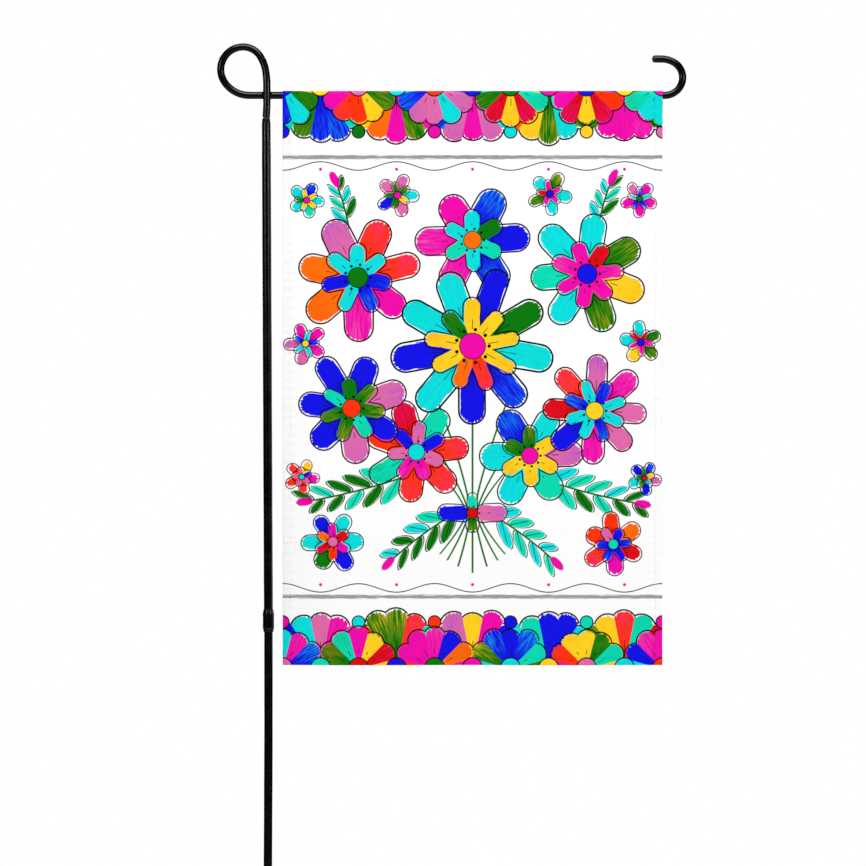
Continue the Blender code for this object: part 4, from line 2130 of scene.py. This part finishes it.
@dataclass
class Studio:
    """Plain white surround, pale floor, soft lights and the camera at the photograph's angle."""

    arm: Vector
    floor_height: float
    image_pixels: int = 866
    metres_per_pixel: float = 0.0008023
    pole_axis_pixel: float = 267.1
    arm_axis_pixel: float = 95.3
    distance: float = 4.0
    sensor_width: float = 36.0
    floor_radius: float = 2.6
    floor_across: float = 0.13
    floor_colour: tuple[float, float, float] = (0.86, 0.86, 0.85)
    # painted shade: the floor's colour as glossy rays see it, dark grey so that the rods reflect a dark
    # floor
    floor_reflection_shade: tuple[float, float, float] = (0.20, 0.20, 0.20)
    fill_strength: float = 0.56
    gloss_strength: float = 0.006
    lights: tuple[SoftLight, ...] = (
        SoftLight("top_light", (0.11, -1.35, 2.6), (0.13, 0.0, 0.5), (2.4, 1.8), 55.0),
        SoftLight("left_strip", (-0.87, -0.97, 0.81), (0.0, 0.0, 0.78), (0.30, 0.16), 1.5),
        SoftLight("right_strip", (1.38, -1.16, 0.85), (0.0, 0.0, 0.78), (0.45, 0.18), 2.6),
        SoftLight("back_light", (0.2, 1.9, 1.5), (0.15, 0.0, 0.4), (1.6, 1.2), 20.0),
    )

    def build_world(self) -> None:
        """White where the camera looks past the flag, softer as a fill light."""
        world = bpy.data.worlds.new("white_surround")
        world.use_nodes = True
        bpy.context.scene.world = world
        board = Board(world.node_tree)
        fill = board.ray("Is Glossy Ray").between(self.fill_strength, self.gloss_strength)
        strength = board.ray("Is Camera Ray") * (1.0 - fill) + fill
        white = {"Color": (1.0, 1.0, 1.0, 1.0), "Strength": strength}
        board.feed(world.node_tree.nodes["Background"], white)

    def build_lights(self) -> None:
        """The soft lights, hidden from the camera."""
        for light in self.lights:
            data = bpy.data.lights.new(light.name, "AREA")
            data.shape = "RECTANGLE"
            data.size, data.size_y = light.size
            data.energy = light.watts
            lamp = bpy.data.objects.new(light.name, data)
            lamp.location = light.place
            towards = Vector(light.aim) - Vector(light.place)
            lamp.rotation_euler = towards.to_track_quat("-Z", "Y").to_euler()
            lamp.visible_camera = False
            bpy.context.scene.collection.objects.link(lamp)

    def build_floor(self) -> bpy.types.Object:
        """Lays a pale round floor just under the prongs' points, so that all of the stand shows. In
        glossy reflections its colour is painted dark grey, as painted shade.

        Returns:
            The floor's object.
        """
        material, board, shader = new_material("pale_floor")
        x, y, _ = board.object_place().parts()
        fade = board.length(x, y).eased(0.35 * self.floor_radius, 0.98 * self.floor_radius)
        finish = {
            # painted shade in reflections: glossy rays see the floor dark grey, while the camera and
            # diffuse light see it pale
            "Base Color": board.mix(board.ray("Is Glossy Ray"), self.floor_colour, self.floor_reflection_shade),
            "Roughness": 0.9,
            "Specular IOR Level": 0.1,
            "Alpha": 1.0 - fade,
        }
        board.feed(shader, finish)
        turns = np.linspace(0.0, math.tau, 96, endpoint=False)
        rim = [(math.cos(t) * self.floor_radius, math.sin(t) * self.floor_radius, 0.0) for t in turns]
        mesh = bpy.data.meshes.new("floor")
        mesh.from_pydata(rim, [], [tuple(range(len(rim)))])
        mesh.materials.append(material)
        floor = bpy.data.objects.new("floor", mesh)
        floor.location = (self.floor_across, 0.0, self.floor_height)
        bpy.context.scene.collection.objects.link(floor)
        return floor

    def build_camera(self) -> bpy.types.Object:
        """Sets up a long lens, face on to the flag, framed as the photograph is.

        Returns:
            The camera's object.
        """
        middle = 0.5 * self.image_pixels
        data = bpy.data.cameras.new("camera")
        data.sensor_width = self.sensor_width
        view_width = self.image_pixels * self.metres_per_pixel
        data.lens = self.sensor_width * self.distance / view_width
        camera = bpy.data.objects.new("camera", data)
        camera.location = (
            (middle - self.pole_axis_pixel) * self.metres_per_pixel,
            self.arm.y - self.distance,
            self.arm.z - (middle - self.arm_axis_pixel) * self.metres_per_pixel,
        )
        camera.rotation_euler = (math.radians(90.0), 0.0, 0.0)
        bpy.context.scene.collection.objects.link(camera)
        bpy.context.scene.camera = camera
        return camera

    def build(self) -> None:
        """Builds the surround, lights, floor and camera, and sets plain display colours."""
        self.build_world()
        self.build_lights()
        self.build_floor()
        self.build_camera()
        bpy.context.scene.view_settings.view_transform = "Standard"


def report(piece: bpy.types.Object) -> None:
    """Logs one piece with its number of triangles."""
    piece.data.calc_loop_triangles()
    LOG.info("%s: %d triangles", piece.name, len(piece.data.loop_triangles))


def main() -> None:
    """Builds the flag and its stand in order, then the studio."""
    logging.basicConfig(level=logging.INFO, format="%(name)s %(message)s")
    _, hanger_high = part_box("hanger")
    flag_low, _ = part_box("flag_cloth")
    _, pole_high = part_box("pole_upper")
    arm_height = pole_high.z + Stand.upright_below_arm + Stand.joint_gap
    arm = Vector((0.0, hanger_high.y - Stand.rod_radius, arm_height))

    stand = Stand(arm=arm, coat=CoatedSteel().material()).build()
    flag = FlagCloth(arm=arm, left=flag_low.x)
    printed = flag.finish().material()
    cloth = flag.build(printed)
    thread = flag.build_stitching(printed)
    Studio(arm=arm, floor_height=CAD_BOX[0].z - MILLIMETRE).build()
    for piece in (cloth, thread, *stand.values()):
        report(piece)


if __name__ == "__main__":
    main()
